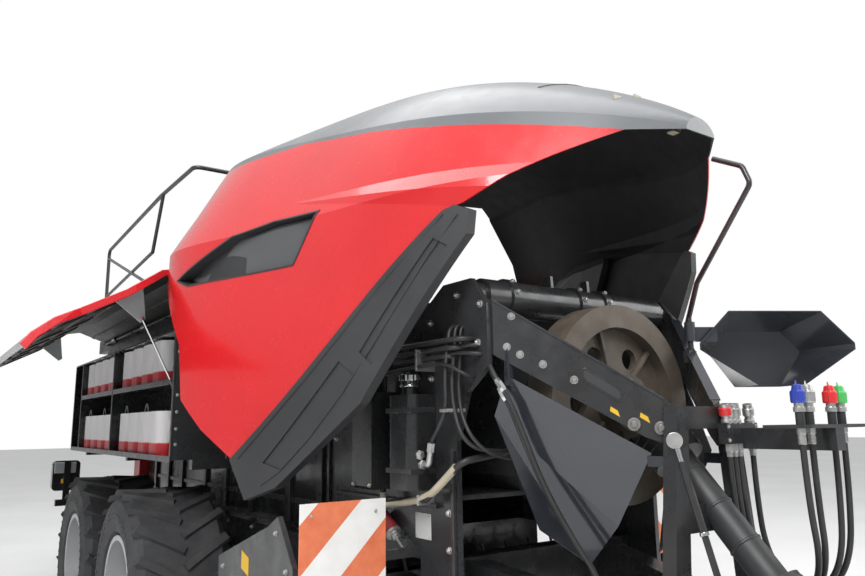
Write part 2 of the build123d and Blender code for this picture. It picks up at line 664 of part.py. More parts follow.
def drawbar_post():
    """Portal that carries the front ends of the upper beams and the rest of the drive shaft."""
    outline = ((-300, 700), (-190, POST_TOP_Z), (190, POST_TOP_Z), (300, 700))
    opening = ((-205, 690), (-130, 1540), (130, 1540), (205, 690))
    post = front_plate(outline, POST_FRONT_Y, POST_REAR_Y)
    post -= front_plate(opening, POST_FRONT_Y - 1, POST_REAR_Y + 1)
    beam = drawbar_beams()
    middle = (POST_FRONT_Y + POST_REAR_Y) / 2
    fall = (PTO_REAR[2] - PTO_FRONT[2]) / (PTO_REAR[1] - PTO_FRONT[1])
    seat = PTO_REAR[2] - fall * (PTO_REAR[1] - middle)
    cradle = box(-165, 165, POST_FRONT_Y, POST_REAR_Y, seat - 120, seat - 20)
    return post + cradle + hose_arm() - beam - mirrored(beam) - pto_shaft()


def jack_tube():
    half = JACK_TUBE / 2
    tube = box(JACK_X - half, JACK_X + half, JACK_Y - half, JACK_Y + half,
               JACK_TUBE_FOOT_Z, JACK_TUBE_TOP_Z)
    tube -= rod_z(JACK_LEG_D / 2 + PIN_GAP, JACK_TUBE_FOOT_Z - 1, JACK_TUBE_TOP_Z - 20, JACK_X, JACK_Y)
    bracket = box(JACK_X + half, 0, JACK_Y - 50, JACK_Y + 50, 600, 740)
    beam = drawbar_beams()
    bracket -= mirrored(beam)
    bracket = bracket.solids().sort_by(Axis.X)[0]
    crank = rod_z(14, JACK_TUBE_TOP_Z, JACK_TUBE_TOP_Z + 40, JACK_X, JACK_Y)
    crank += box(JACK_X - 160, JACK_X + 14, JACK_Y - 12, JACK_Y + 12,
                 JACK_TUBE_TOP_Z + 40, JACK_TUBE_TOP_Z + 56)
    return tube + bracket + crank


def jack_leg():
    leg = rod_z(JACK_LEG_D / 2, JACK_FOOT_THICK, JACK_LEG_TOP_Z, JACK_X, JACK_Y)
    half = JACK_FOOT / 2
    return leg + box(JACK_X - half, JACK_X + half, JACK_Y - half, JACK_Y + half, 0, JACK_FOOT_THICK)


def gearbox():
    body = box(-GEARBOX_HALF, GEARBOX_HALF, GEARBOX_FRONT, GEARBOX_REAR, GEARBOX_FOOT_Z, GEARBOX_TOP_Z)
    body = chamfer(body.edges().filter_by(Axis.Y), 70)
    snout = rod_y(SNOUT_D / 2, GEARBOX_FRONT - 170, GEARBOX_FRONT, 0, FLYWHEEL_Z)
    body += snout
    return body - rod_y(SHAFT_D / 2 + PIN_GAP, GEARBOX_FRONT - 171, GEARBOX_FRONT, 0, FLYWHEEL_Z)


def flywheel():
    rear = FLYWHEEL_Y + FLYWHEEL_THICK
    r = FLYWHEEL_D / 2
    hub = 120
    profile = (
        (0, FLYWHEEL_Y - 40), (hub, FLYWHEEL_Y - 40), (hub, FLYWHEEL_Y + 50),
        (r - FLYWHEEL_RIM, FLYWHEEL_Y + 60), (r - FLYWHEEL_RIM, FLYWHEEL_Y), (r, FLYWHEEL_Y),
        (r, rear), (r - FLYWHEEL_RIM, rear), (r - FLYWHEEL_RIM, FLYWHEEL_Y + 85), (hub, FLYWHEEL_Y + 95),
        (hub, rear + 40), (SHAFT_D / 2, rear + 40), (SHAFT_D / 2, GEARBOX_FRONT - SIDE_GAP), (0, GEARBOX_FRONT - SIDE_GAP),
    )
    wheel = revolve(Plane.XY * make_face(Polyline(*profile, close=True)), axis=Axis.Y)
    holes = [Rot(0, 360 / 6 * i, 0) * rod_y(48, FLYWHEEL_Y + 20, FLYWHEEL_Y + 120, 225, 0) for i in range(6)]
    return Pos(0, 0, FLYWHEEL_Z) * (wheel - holes)


def pto_shaft():
    rear = Vector(*PTO_REAR)
    front = Vector(*PTO_FRONT)
    along = (front - rear).normalized()
    shape = rod_between(PTO_REAR, PTO_FRONT, PTO_D / 2)
    cone_a = rear + along * 40
    shape += rod_between(tuple(cone_a), tuple(cone_a + along * 150), PTO_D / 2 + 45)
    cone_b = front - along * 190
    shape += rod_between(tuple(cone_b), tuple(cone_b + along * 150), PTO_D / 2 + 30)
    yoke = rod_y(55, PTO_REAR[1], FLYWHEEL_Y - 40 - SIDE_GAP, 0, FLYWHEEL_Z)
    knee = rod_between((0, PTO_REAR[1] + 50, FLYWHEEL_Z - 10), PTO_REAR, 48)
    return shape + yoke + knee


def shield_section(y, half, base, top, foot_half, foot):
    plane = Plane(origin=(0, y, 0), x_dir=(1, 0, 0), z_dir=(0, -1, 0))
    corner = half * 0.4
    points = (
        (-foot_half, foot), (-half, base), (-half, top - corner), (-half + corner, top),
        (half - corner, top), (half, top - corner), (half, base), (foot_half, foot),
    )
    return plane * make_face(Polyline(*points, close=True))


def shield_closed():
    """Faceted cover over the front of the flywheel, open behind and below."""
    wall = SHIELD_WALL
    outer = loft([
        shield_section(SHIELD_REAR_Y, SHIELD_HALF, SHIELD_BASE_Z, SHIELD_TOP_Z,
                       SHIELD_FOOT_HALF, SHIELD_FOOT_Z),
        shield_section(SHIELD_FRONT_Y, SHIELD_HALF * 0.62, SHIELD_BASE_Z, SHIELD_TOP_Z - 70,
                       SHIELD_FOOT_HALF, SHIELD_FOOT_Z),
    ], ruled=True)
    inner = loft([
        shield_section(SHIELD_REAR_Y + 1, SHIELD_HALF - wall, SHIELD_BASE_Z, SHIELD_TOP_Z - wall,
                       SHIELD_FOOT_HALF - wall, SHIELD_FOOT_Z - 1),
        shield_section(SHIELD_FRONT_Y + wall, SHIELD_HALF * 0.62 - wall, SHIELD_BASE_Z,
                       SHIELD_TOP_Z - 70 - wall, SHIELD_FOOT_HALF - wall, SHIELD_FOOT_Z - 1),
    ], ruled=True)
    shell = outer - inner
    pin = SHIELD_PIN_D / 2
    sleeve = rod_z(pin + 12, SHIELD_BASE_Z + 40, SHIELD_BASE_Z + 130, SHIELD_HINGE_X, SHIELD_HINGE_Y)
    tab = box(SHIELD_HALF - 100, SHIELD_HINGE_X, SHIELD_REAR_Y - 30, SHIELD_REAR_Y - 20,
              SHIELD_BASE_Z + 40, SHIELD_BASE_Z + 110)
    bore = rod_z(pin + PIN_GAP, SHIELD_BASE_Z, SHIELD_BASE_Z + 200, SHIELD_HINGE_X, SHIELD_HINGE_Y)
    return shell + tab + sleeve - bore


def flywheel_shield():
    hinge = Axis((SHIELD_HINGE_X, SHIELD_HINGE_Y, 0), (0, 0, 1))
    return shield_closed().rotate(hinge, SHIELD_OPEN)


def left_beam():
    """Left-hand brace with the pin of the flywheel shield on its top edge."""
    beam = upper_beam()
    pin = rod_z(SHIELD_PIN_D / 2, SHIELD_BASE_Z - 60, SHIELD_BASE_Z + 150, SHIELD_HINGE_X, SHIELD_HINGE_Y)
    seat = box(SHIELD_HINGE_X - 40, SHIELD_HINGE_X + 16, SHIELD_HINGE_Y - 16, SHIELD_HINGE_Y + 16,
               SHIELD_BASE_Z - 60, SHIELD_BASE_Z - 6)
    return beam + seat + pin


def hood_section(station, grow):
    y, foot_half, crease_half, shoulder_half, shoulder, crown = station
    plane = Plane(origin=(0, y, 0), x_dir=(1, 0, 0), z_dir=(0, -1, 0))
    foot = (foot_half + grow, HOOD_FOOT_Z)
    crease = (crease_half + grow, CREASE_Z)
    edge = (shoulder_half + grow * 0.8, shoulder + grow * 0.6)
    left_edge = (-edge[0], edge[1])
    left_crease = (-crease[0], crease[1])
    left_foot = (-foot[0], foot[1])
    lines = [
        Line(left_foot, left_crease), Line(left_crease, left_edge),
        ThreePointArc(left_edge, (0, crown + grow), edge),
        Line(edge, crease), Line(crease, foot), Line(foot, left_foot),
    ]
    return plane * make_face(lines)


def hood_block(grow):
    """The hood as a filled form, its skin moved outwards by grow."""
    stations = [list(row) for row in HOOD_STATIONS]
    stations[-1][0] -= grow
    return loft([hood_section(row, grow) for row in stations])


def hood_outline():
    return side_plate(HOOD_REAR_EDGE + HOOD_FRONT_EDGE, -2000, 2000)


def cap_outline():
    return side_plate(CAP_EDGE + ((-3500.0, 3700.0), (-400.0, 3700.0)), -2000, 2000)


def hood_parts():
    """Red sides, grey cap, black skirts and air scoops of the hood."""
    block = hood_block(0)
    shell = (block - hood_block(-HOOD_WALL)) & hood_outline()
    cap = shell & cap_outline()
    sides = shell - cap_outline()
    scoop_prism = side_plate(SCOOP_OUTLINE, -2000, 2000)
    sides -= scoop_prism
    cup = (hood_block(4) - hood_block(-SCOOP_DEPTH)) & scoop_prism
    inset = offset(make_face(Polyline(*SCOOP_OUTLINE, close=True)), amount=-9, kind=Kind.INTERSECTION)
    hollow = extrude(Plane.YZ.offset(-2000) * inset, amount=4000)
    cup -= (hood_block(20) - hood_block(6 - SCOOP_DEPTH)) & hollow
    skirt = (hood_block(SKIRT_PROUD) - hood_block(SKIRT_PROUD - SKIRT_DEPTH))
    skirt = skirt & side_plate(SKIRT_OUTLINE, -2000, 2000)
    groove = hood_block(SKIRT_PROUD + 5) - hood_block(SKIRT_PROUD - RECESS_DEPTH)
    for outline in SKIRT_RECESSES:
        skirt -= groove & side_plate(outline, -2000, 2000)
    return sides, cap, skirt, cup


def hood_arms():
    """Two arms under the roof that turn on the pins of the deck."""
    y = HOOD_HINGE_Y
    z = HOOD_HINGE_Z
    rear = ((y + 45, z - 10), (y + 20, z - 45), (y - 40, z - 45), (-476.0, z + 20), (-476.0, 3200.0), (y + 20, z + 60))
    front = ((-476.0, z + 20), (-700.0, 3120.0), (-1100.0, 3250.0), (-1100.0, 3500.0), (-476.0, 3500.0))
    x0 = HOOD_ARM_X - HOOD_ARM_THICK / 2
    arm = side_plate(front, x0, x0 + HOOD_ARM_THICK) & hood_block(-HOOD_WALL)
    arm += side_plate(rear, x0, x0 + HOOD_ARM_THICK)
    return arm - rod_x(HOOD_PIN_D / 2 + PIN_GAP, x0 - 1, x0 + HOOD_ARM_THICK + 1, y, z)


def roof_deck():
    top = DECK_TOP_Z
    outer = ((-DECK_HALF, DECK_FOOT_Z), (-DECK_HALF + 5, top - 20), (-DECK_HALF + 20, top),
             (DECK_HALF - 20, top), (DECK_HALF - 5, top - 20), (DECK_HALF, DECK_FOOT_Z))
    wall = DECK_WALL
    inner = ((-DECK_HALF + wall, DECK_FOOT_Z - 1), (-DECK_HALF + wall + 5, top - wall - 15),
             (-DECK_HALF + wall + 20, top - wall), (DECK_HALF - wall - 20, top - wall),
             (DECK_HALF - wall - 5, top - wall - 15), (DECK_HALF - wall, DECK_FOOT_Z - 1))
    deck = front_plate(outer, DECK_FRONT_Y, DECK_REAR_Y)
    deck -= front_plate(inner, DECK_FRONT_Y + wall, DECK_REAR_Y - wall)
    for side in (-1, 1):
        for y in (DECK_FRONT_Y + 10, 700.0, 1750.0, DECK_REAR_Y - 50):
            x0 = side * (DECK_HALF - 4)
            x1 = side * (DOOR_HINGE_X + DOOR_PIN_D / 2 + 2)
            deck += box(x0, x1, y, y + 30, DOOR_HINGE_Z - 14, DOOR_HINGE_Z + 8)
        deck += rod_y(DOOR_PIN_D / 2, DECK_FRONT_Y + 10, DECK_REAR_Y - 20, side * DOOR_HINGE_X, DOOR_HINGE_Z)
        for gap in (-1, 1):
            near = side * HOOD_ARM_X + gap * (HOOD_ARM_THICK / 2 + SIDE_GAP)
            stand = ((HOOD_HINGE_Y - 50, top), (HOOD_HINGE_Y + 180, top),
                     (HOOD_HINGE_Y + 40, HOOD_HINGE_Z + 35), (HOOD_HINGE_Y - 50, HOOD_HINGE_Z + 35))
            deck += side_plate(stand, min(near, near + gap * 20), max(near, near + gap * 20))
        reach = HOOD_ARM_THICK / 2 + SIDE_GAP + 20
        deck += rod_x(HOOD_PIN_D / 2, side * HOOD_ARM_X - reach, side * HOOD_ARM_X + reach,
                      HOOD_HINGE_Y, HOOD_HINGE_Z)
    return deck


def roof_frames():
    frames = None
    for y in ROOF_FRAMES_Y:
        beam = box(-DECK_HALF, DECK_HALF, y, y + FRAME_TUBE, DECK_FOOT_Z - FRAME_TUBE, DECK_FOOT_Z)
        leg = box(CHAMBER_SIDE - FRAME_TUBE, CHAMBER_SIDE, y, y + FRAME_TUBE, CHAMBER_TOP_Z, DECK_FOOT_Z)
        part = beam + leg + mirrored(leg)
        frames = part if frames is None else frames + part
    return frames


def rear_platform():
    """Step plate behind the deck and the ladder down from it."""
    half = DECK_HALF - 20
    plate = box(-half, half, DECK_REAR_Y, 3500, DECK_TOP_Z - 30, DECK_TOP_Z)
    for x in (-half, -40.0, half - 80):
        plate += box(x, x + 80, DECK_REAR_Y, 3500, DECK_TOP_Z - 130, DECK_TOP_Z - 30)
    return plate


def ladder():
    shape = box(640, 680, 3500, 3560, 450, DECK_TOP_Z) + box(960, 1000, 3500, 3560, 450, DECK_TOP_Z)
    rungs = [box(680, 960, 3505, 3555, z, z + 30) for z in range(500, int(DECK_TOP_Z) - 60, 300)]
    return shape + rungs


def handrails():
    """Railing round the deck: top rail on two rear posts, slanted side posts and two front posts."""
    half = RAILING_X
    rail = pipe(((-half, 3460, DECK_TOP_Z), (-half, 3460, 3488), (-half, 1400, 3570), (-half, 462, 3555),
                 (half, 462, 3555), (half, 1400, 3570), (half, 3460, 3488), (half, 3460, DECK_TOP_Z)), 60, 17)
    for side in (-1, 1):
        x = side * half
        rail += rod_between((x, 1334, 3567), (x, 1593, 3099), 15)
        rail += rod_between((x, 1593, 3099), (x, 3460, 2975), 15)
        rail += rod_between((x, 3460, 3400), (x, RAILING_BRACE_Y, DECK_TOP_Z), 15)
        rail += rod_z(17, DECK_TOP_Z, 3555, side * 300, 462)
    return rail - box(-half - 50, half + 50, DECK_FRONT_Y, 3500, DECK_TOP_Z - 100, DECK_TOP_Z)


def bent_sheet(points, wall):
    """Outline of a bent sheet: its outer points, then the same points moved inwards by its thickness."""
    inner = []
    for i, (x, z) in enumerate(points):
        before = points[max(i - 1, 0)]
        after = points[min(i + 1, len(points) - 1)]
        along = Vector(after[0] - before[0], after[1] - before[1], 0).normalized()
        inner.append((x + along.Y * wall, z - along.X * wall))
    return list(points) + inner[::-1]


def door_closed():
    """Left-hand side door, shut: a bent shell with hinge sleeves along its top."""
    skin = [(DOOR_HINGE_X + x, DOOR_HINGE_Z + z) for x, z in DOOR_SKIN]
    front = DOOR_FRONT_EDGE[-1][0]
    top = skin[0][1]
    shell = front_plate(bent_sheet(skin, DOOR_WALL), front, DOOR_REAR_Y)
    cut = ((front - 10, top + 60),) + DOOR_FRONT_EDGE + ((front - 10, DOOR_FRONT_EDGE[-1][1]),)
    shell -= side_plate(cut, DOOR_HINGE_X - 100, DOOR_HINGE_X + 500)
    pin = DOOR_PIN_D / 2
    for y in (200.0, 1300.0, 2400.0):
        shell += rod_y(pin + 12, y, y + 120, DOOR_HINGE_X, DOOR_HINGE_Z)
        shell += box(DOOR_HINGE_X, DOOR_HINGE_X + 30, y, y + 120, DOOR_HINGE_Z + 4, top - 20)
    shell -= rod_y(pin + PIN_GAP, front, DOOR_REAR_Y, DOOR_HINGE_X, DOOR_HINGE_Z)
    shell += strut_bracket()
    return shell


def strut_eye_closed():
    dx = STRUT_EYE_OPEN[0] - DOOR_HINGE_X
    dz = STRUT_EYE_OPEN[1] - DOOR_HINGE_Z
    a = math.radians(-DOOR_OPEN)
    return (DOOR_HINGE_X + dx * math.cos(a) - dz * math.sin(a),
            DOOR_HINGE_Z + dx * math.sin(a) + dz * math.cos(a))


def strut_bracket():
    """Tapered plate on the door that carries the eye of the strut's rod."""
    x, z = strut_eye_closed()
    face = DOOR_HINGE_X + DOOR_SKIN[3][0] - DOOR_WALL / 2
    outline = ((face, z + 110), (face, z - 60), (x - 14, z - 16), (x - 14, z + 16))
    near = STRUT_Y + STRUT_BOSS + PIN_GAP
    return front_plate(outline, near, near + 8)


def side_door():
    hinge = Axis((DOOR_HINGE_X, 0, DOOR_HINGE_Z), (0, 1, 0))
    return door_closed().rotate(hinge, -DOOR_OPEN)


def strut_points():
    base = Vector(STRUT_BASE[0], STRUT_Y, STRUT_BASE[1])
    eye = Vector(STRUT_EYE_OPEN[0], STRUT_Y, STRUT_EYE_OPEN[1])
    return base, eye, (eye - base).normalized()


def strut_barrel():
    base, eye, along = strut_points()
    half = STRUT_EYE_HALF
    barrel = rod_between(tuple(base + along * 12), tuple(base + along * STRUT_BARREL), STRUT_BARREL_D / 2)
    barrel += rod_y(STRUT_PIN_D, STRUT_Y - half, STRUT_Y + half, base.X, base.Z)
    barrel -= rod_between(tuple(base + along * STRUT_PIN_D), tuple(base + along * (STRUT_BARREL + 1)),
                          STRUT_ROD_D / 2 + PIN_GAP)
    return barrel - rod_y(STRUT_PIN_D / 2 + PIN_GAP, STRUT_Y - STRUT_BARREL_D, STRUT_Y + STRUT_BARREL_D,
                          base.X, base.Z)


def strut_rod():
    base, eye, along = strut_points()
    rod = rod_between(tuple(eye - along * STRUT_ROD), tuple(eye), STRUT_ROD_D / 2)
    return rod + rod_y(12, STRUT_Y - STRUT_EYE_HALF, STRUT_Y + STRUT_BOSS, eye.X, eye.Z)


def twine_box():
    sheet = BOX_SHEET
    back = box(BOX_IN_X, BOX_IN_X + sheet, BOX_FRONT_Y, BOX_REAR_Y, SHELF_LOW_Z - sheet, BOX_TOP_Z)
    shape = back
    shape += box(BOX_IN_X, BOX_OUT_X, BOX_FRONT_Y, BOX_REAR_Y, SHELF_LOW_Z - sheet, SHELF_LOW_Z)
    shape += box(BOX_IN_X, BOX_OUT_X, -410, 2440, SHELF_MID_Z - sheet, SHELF_MID_Z)
    shape += box(BOX_IN_X, BOX_OUT_X, BOX_FRONT_Y, BOX_REAR_Y, BOX_TOP_Z - sheet, BOX_TOP_Z)
    for y in (BOX_FRONT_Y, 1140.0, 2430.0, BOX_REAR_Y - sheet):
        shape += box(BOX_IN_X, BOX_OUT_X, y, y + sheet, SHELF_LOW_Z, BOX_TOP_Z)
    for y in (BOX_FRONT_Y, 1120.0, BOX_REAR_Y - 60):
        shape += box(CHAMBER_SIDE, BOX_IN_X + 200, y, y + 60, SHELF_LOW_Z - sheet - 60, SHELF_LOW_Z - sheet)
    for y in (ROOF_FRAMES_Y[0], ROOF_FRAMES_Y[1]):
        shape += box(CHAMBER_SIDE, BOX_IN_X, y, y + FRAME_TUBE, BOX_TOP_Z - 60, BOX_TOP_Z)
    shape += rod_y(STRUT_PIN_D / 2, BOX_FRONT_Y + sheet, STRUT_Y + 14, STRUT_BASE[0], STRUT_BASE[1])
    return shape


def twine_balls():
    middle = (BOX_IN_X + BOX_SHEET + BOX_OUT_X) / 2
    balls = []
    for shelf in (SHELF_LOW_Z, SHELF_MID_Z):
        for start in BAY_STARTS:
            for i in range(BALLS_PER_BAY):
                y = start + BALL_PITCH * i
                foot = Pos(middle, y, shelf) * RectangleRounded(BALL_D, BALL_D, BALL_CORNER)
                balls.append(extrude(foot, amount=BALL_HEIGHT))
    return Compound(children=balls)


def grab_rail():
    return pipe(((PLATE_OUT_X, -2235, 1250), (1010, -2235, 1250), (1100, -2330, 1900), (1100, -2497, 2348),
                 (1100, -2880, 2840), (1100, -2840, 2950), (1060, -2690, 3031)), 50, 15)


def pickup_lowered():
    plate = side_plate(((-2080, 330), (-1950, 120), (-1750, 60), (-1500, 100), (-1290, 400),
                        (-1290, 640), (-1600, 720), (-1950, 640)), 1125, 1137)
    stub = rod_x(30, 1085, 1125, REEL_Y, REEL_Z)
    arm = side_plate(((-960, 765), (-960, 700), (-1290, 505), (-1375, 515), (-1375, 605), (-1020, 790)), 656, 690)
    arm -= rod_x(PICKUP_PIN_D / 2 + PIN_GAP, RAIL_IN_X, RAIL_OUT_X, PICKUP_PIVOT_Y, PICKUP_PIVOT_Z)
    fork = side_plate(((-1480, 420), (-1380, 420), (GAUGE_Y + 35, GAUGE_Z - 30), (GAUGE_Y - 35, GAUGE_Z - 30)), 1137, 1155)
    axle_pin = rod_x(20, 1155, GAUGE_X + GAUGE_WIDTH / 2 + 10, GAUGE_Y, GAUGE_Z)
    half = plate + stub + arm + fork + axle_pin
    beam = box(-1125, 1125, -1375, -1285, 515, 605)
    shape = beam + half + mirrored(half)
    ring = rod_x(REEL_BAND_R + 4, -60, 60, REEL_Y, REEL_Z) - rod_x(REEL_BAND_R, -61, 61, REEL_Y, REEL_Z)
    ring -= box(-100, 100, REEL_Y + 122, REEL_Y + 400, 0, 1000)
    ring -= box(-100, 100, REEL_Y, REEL_Y + 400, 0, REEL_Z)
    ring += side_plate(((-1632, 570), (-1632, 577), (-1374, 604), (-1374, 597)), -60, 60)
    pitch = 2 * (REEL_HALF - 60) / TINES_PER_BAR
    bands = []
    for i in range(TINES_PER_BAR + 1):
        bands.append(Pos(-REEL_HALF + 60 + pitch * i, 0, 0) * ring)
    return shape + bands


def pickup_covers():
    outline = ((-2150, 720), (-2120, 1000), (-1960, 1190), (-1860, 1140), (-1250, 940), (-1250, 700),
               (-1500, 480), (-1900, 430))
    cover = side_plate(outline, 1185, 1209)
    cover += rod_x(20, 1137, 1185, -1900, 700)
    cover += rod_x(20, 1137, 1185, -1480, 700)
    return cover


def pickup_frame():
    frame = turned(pickup_lowered(), PICKUP_PIVOT_Y, PICKUP_PIVOT_Z, -PICKUP_RAISED)
    cover = pickup_covers()
    return frame + cover + mirrored(cover)


def pickup_reel():
    tube = rod_x(50, -REEL_HALF - 10, REEL_HALF + 10, REEL_Y, REEL_Z)
    tube -= rod_x(30 + PIN_GAP, REEL_HALF - 50, REEL_HALF + 11, REEL_Y, REEL_Z)
    tube -= rod_x(30 + PIN_GAP, -REEL_HALF - 11, -REEL_HALF + 50, REEL_Y, REEL_Z)
    pitch = 2 * (REEL_HALF - 60) / TINES_PER_BAR
    rows = []
    for b in range(TINE_BARS):
        bar = box(-REEL_HALF, REEL_HALF, -14, 14, 190, 218)
        for x in (-REEL_HALF, -8.0, REEL_HALF - 16):
            bar += box(x, x + 16, -20, 20, 40, 200)
        tines = [box(-REEL_HALF + 60 + pitch * (i + 0.5) - 6, -REEL_HALF + 60 + pitch * (i + 0.5) + 6,
                     -6, 6, 215, REEL_TIP_R) for i in range(TINES_PER_BAR)]
        rows.append(Pos(0, REEL_Y, REEL_Z) * (Rot(360 / TINE_BARS * b, 0, 0) * (bar + tines)))
    reel = tube
    for row in rows:
        reel += row
    return turned(reel, PICKUP_PIVOT_Y, PICKUP_PIVOT_Z, -PICKUP_RAISED)


def gauge_wheel():
    half = GAUGE_WIDTH / 2
    outer = rod_x(GAUGE_D / 2, GAUGE_X - half, GAUGE_X + half, GAUGE_Y, GAUGE_Z)
    outer = chamfer(outer.edges().filter_by(GeomType.CIRCLE), 20)
    outer -= rod_x(20 + PIN_GAP, GAUGE_X - half - 1, GAUGE_X + half + 1, GAUGE_Y, GAUGE_Z)
    return turned(outer, PICKUP_PIVOT_Y, PICKUP_PIVOT_Z, -PICKUP_RAISED)


def bale_chute():
    y = CHUTE_HINGE_Y
    z = CHUTE_HINGE_Z
    inner = CHUTE_HALF - CHUTE_SIDE
    side = box(inner, CHUTE_HALF, y, REAR_END, z - 45, z + 45)
    side += rod_x(45, inner, CHUTE_HALF, y, z)
    side -= rod_x(CHUTE_PIN_D / 2 + PIN_GAP, inner - 1, CHUTE_HALF + 1, y, z)
    shape = side + mirrored(side) + box(-inner, inner, REAR_END - 40, REAR_END, z - 45, z + 45)
    pitch = (REAR_END - 140 - y) / CHUTE_ROLLERS
    for i in range(CHUTE_ROLLERS):
        shape += rod_x(40, -inner, inner, y + 110 + pitch * i, z + 4)
    return shape


def lamp_units():
    carrier = box(RAIL_OUT_X, 1300, FRAME_REAR - 80, FRAME_REAR - 20, 820, 880)
    carrier += box(1170, 1230, FRAME_REAR - 20, FRAME_REAR, 820, 1240)
    body = box(1080, 1330, FRAME_REAR, FRAME_REAR + 90, 960, 1250)
    body = fillet(body.edges().filter_by(Axis.Y), 40)
    return carrier + body


def hazard_plates():
    return box(HAZARD_IN_X, HAZARD_OUT_X, DRAWBAR_REAR_Y - 6, DRAWBAR_REAR_Y, 840, 1260)


def oil_tank():
    tank = box(-770, -PLATE_OUT_X, -2330, -2130, 1290, 1700)
    tank = fillet(tank.edges().filter_by(Axis.Z).group_by(Axis.X)[0], 40)
    tank += rod_z(36, 1700, 1730, -705, -2230)
    return tank + rod_z(44, 1730, 1790, -705, -2230)


def valve_box():
    shape = box(-800, -PLATE_OUT_X, -2050, -1870, 1280, 1720)
    return chamfer(shape.edges().filter_by(Axis.Y), 14)


def main():
    os.makedirs("parts", exist_ok=True)
    save("chassis_frame", chassis_frame())
    save("bale_chamber", bale_chamber())
    save("density_frame", density_frame())
    save("feeder_duct", feeder_duct())
    for name, y in (("front", AXLE_FRONT_Y), ("rear", AXLE_REAR_Y)):
        for side_name, side in (("left", 1), ("right", -1)):
            save(f"rim_{name}_{side_name}", rim(y, side))
            save(f"tyre_{name}_{side_name}", tyre(y, side))
    save("undercarriage", undercarriage())
    save("front_frame", front_frame())
    save("cross_tube", cross_tube())
    save("upper_beams", Compound(children=[left_beam(), mirrored(upper_beam())]))
    save("front_guards", both(guard()))
    save("drawbar", drawbar())
    save("hitch_eye", hitch_eye())
    save("drawbar_post", drawbar_post())
    save("jack_tube", jack_tube())
    save("jack_leg", jack_leg())
    save("gearbox", gearbox())
    save("flywheel", flywheel())
    save("pto_shaft", pto_shaft())
    save("flywheel_shield", flywheel_shield())
    sides, cap, skirt, cup = hood_parts()
    save("hood_sides", sides)
    save("hood_cap", cap)
    save("hood_skirts", skirt)
    save("hood_scoops", cup)
    save("hood_arms", both(hood_arms()))
    save("roof_deck", roof_deck())
    save("roof_frames", roof_frames())
    save("rear_steps", rear_platform() + ladder())
    save("handrails", Compound(children=[handrails(), grab_rail()]))
    save("side_door_left", side_door())
    save("side_door_right", mirrored(side_door()))
    save("strut_barrel_left", strut_barrel())
    save("strut_barrel_right", mirrored(strut_barrel()))
    save("strut_rod_left", strut_rod())
    save("strut_rod_right", mirrored(strut_rod()))
    save("twine_box_left", twine_box())
    save("twine_box_right", mirrored(twine_box()))
    save("twine_balls_left", twine_balls())
    save("twine_balls_right", mirrored(twine_balls()))
    save("pickup_frame", pickup_frame())
    save("pickup_reel", pickup_reel())
    save("gauge_wheel_left", gauge_wheel())
    save("gauge_wheel_right", mirrored(gauge_wheel()))
    save("bale_chute", bale_chute())
    save("rear_lamps", both(lamp_units()))
    save("hazard_plates", both(hazard_plates()))
    save("fixed_hoses", fixed_hoses())
    for name, places in HOSE_PLACES.items():
        save(name, hose(places))
    save("oil_tank", oil_tank())
    save("valve_box", valve_box())


if __name__ == "__main__":
    main()
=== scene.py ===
import math
import bpy
import bmesh
from mathutils import Matrix, Vector
from mathutils.bvhtree import BVHTree


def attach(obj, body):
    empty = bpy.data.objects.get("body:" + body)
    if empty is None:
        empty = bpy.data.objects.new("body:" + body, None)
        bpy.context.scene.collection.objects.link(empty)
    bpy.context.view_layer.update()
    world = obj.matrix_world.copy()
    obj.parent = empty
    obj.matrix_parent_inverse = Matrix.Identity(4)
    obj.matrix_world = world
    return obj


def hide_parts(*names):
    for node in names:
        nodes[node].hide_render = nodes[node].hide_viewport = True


# Large square baler: looks and details, in metres in the CAD model's frame.

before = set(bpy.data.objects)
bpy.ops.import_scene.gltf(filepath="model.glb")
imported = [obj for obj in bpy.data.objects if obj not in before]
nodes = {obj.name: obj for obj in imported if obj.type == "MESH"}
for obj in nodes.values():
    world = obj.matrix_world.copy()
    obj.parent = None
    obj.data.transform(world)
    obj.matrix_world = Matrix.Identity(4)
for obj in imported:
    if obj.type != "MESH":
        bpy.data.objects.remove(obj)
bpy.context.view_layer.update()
scene = bpy.context.scene
scene.view_settings.view_transform = "Standard"

# The camera of the photograph
cam_data = bpy.data.cameras.new("camera")
cam_data.sensor_width = 36.0
cam_data.lens = 730.6 / 865.0 * 36.0
cam_data.clip_end = 200.0
cam = bpy.data.objects.new("camera", cam_data)
scene.collection.objects.link(cam)
yaw = math.radians(35.18)
pitch = math.radians(10.47)
roll = math.radians(-0.76)
ahead = Vector((math.sin(yaw) * math.cos(pitch), math.cos(yaw) * math.cos(pitch), math.sin(pitch)))
right = Vector((math.cos(yaw), -math.sin(yaw), 0.0))
up = right.cross(ahead)
right, up = (math.cos(roll) * right + math.sin(roll) * up, -math.sin(roll) * right + math.cos(roll) * up)
turn = Matrix((right, up, -ahead)).transposed().to_4x4()
cam.matrix_world = Matrix.Translation((-2.527, -5.0, 1.575)) @ turn
scene.camera = cam


def new_material(name):
    mat = bpy.data.materials.new(name)
    mat.use_nodes = True
    tree = mat.node_tree
    tree.nodes.clear()
    out = tree.nodes.new("ShaderNodeOutputMaterial")
    bsdf = tree.nodes.new("ShaderNodeBsdfPrincipled")
    tree.links.new(bsdf.outputs[0], out.inputs[0])
    return mat, tree, bsdf


def coordinates(tree, kind="Object"):
    return tree.nodes.new("ShaderNodeTexCoord").outputs[kind]


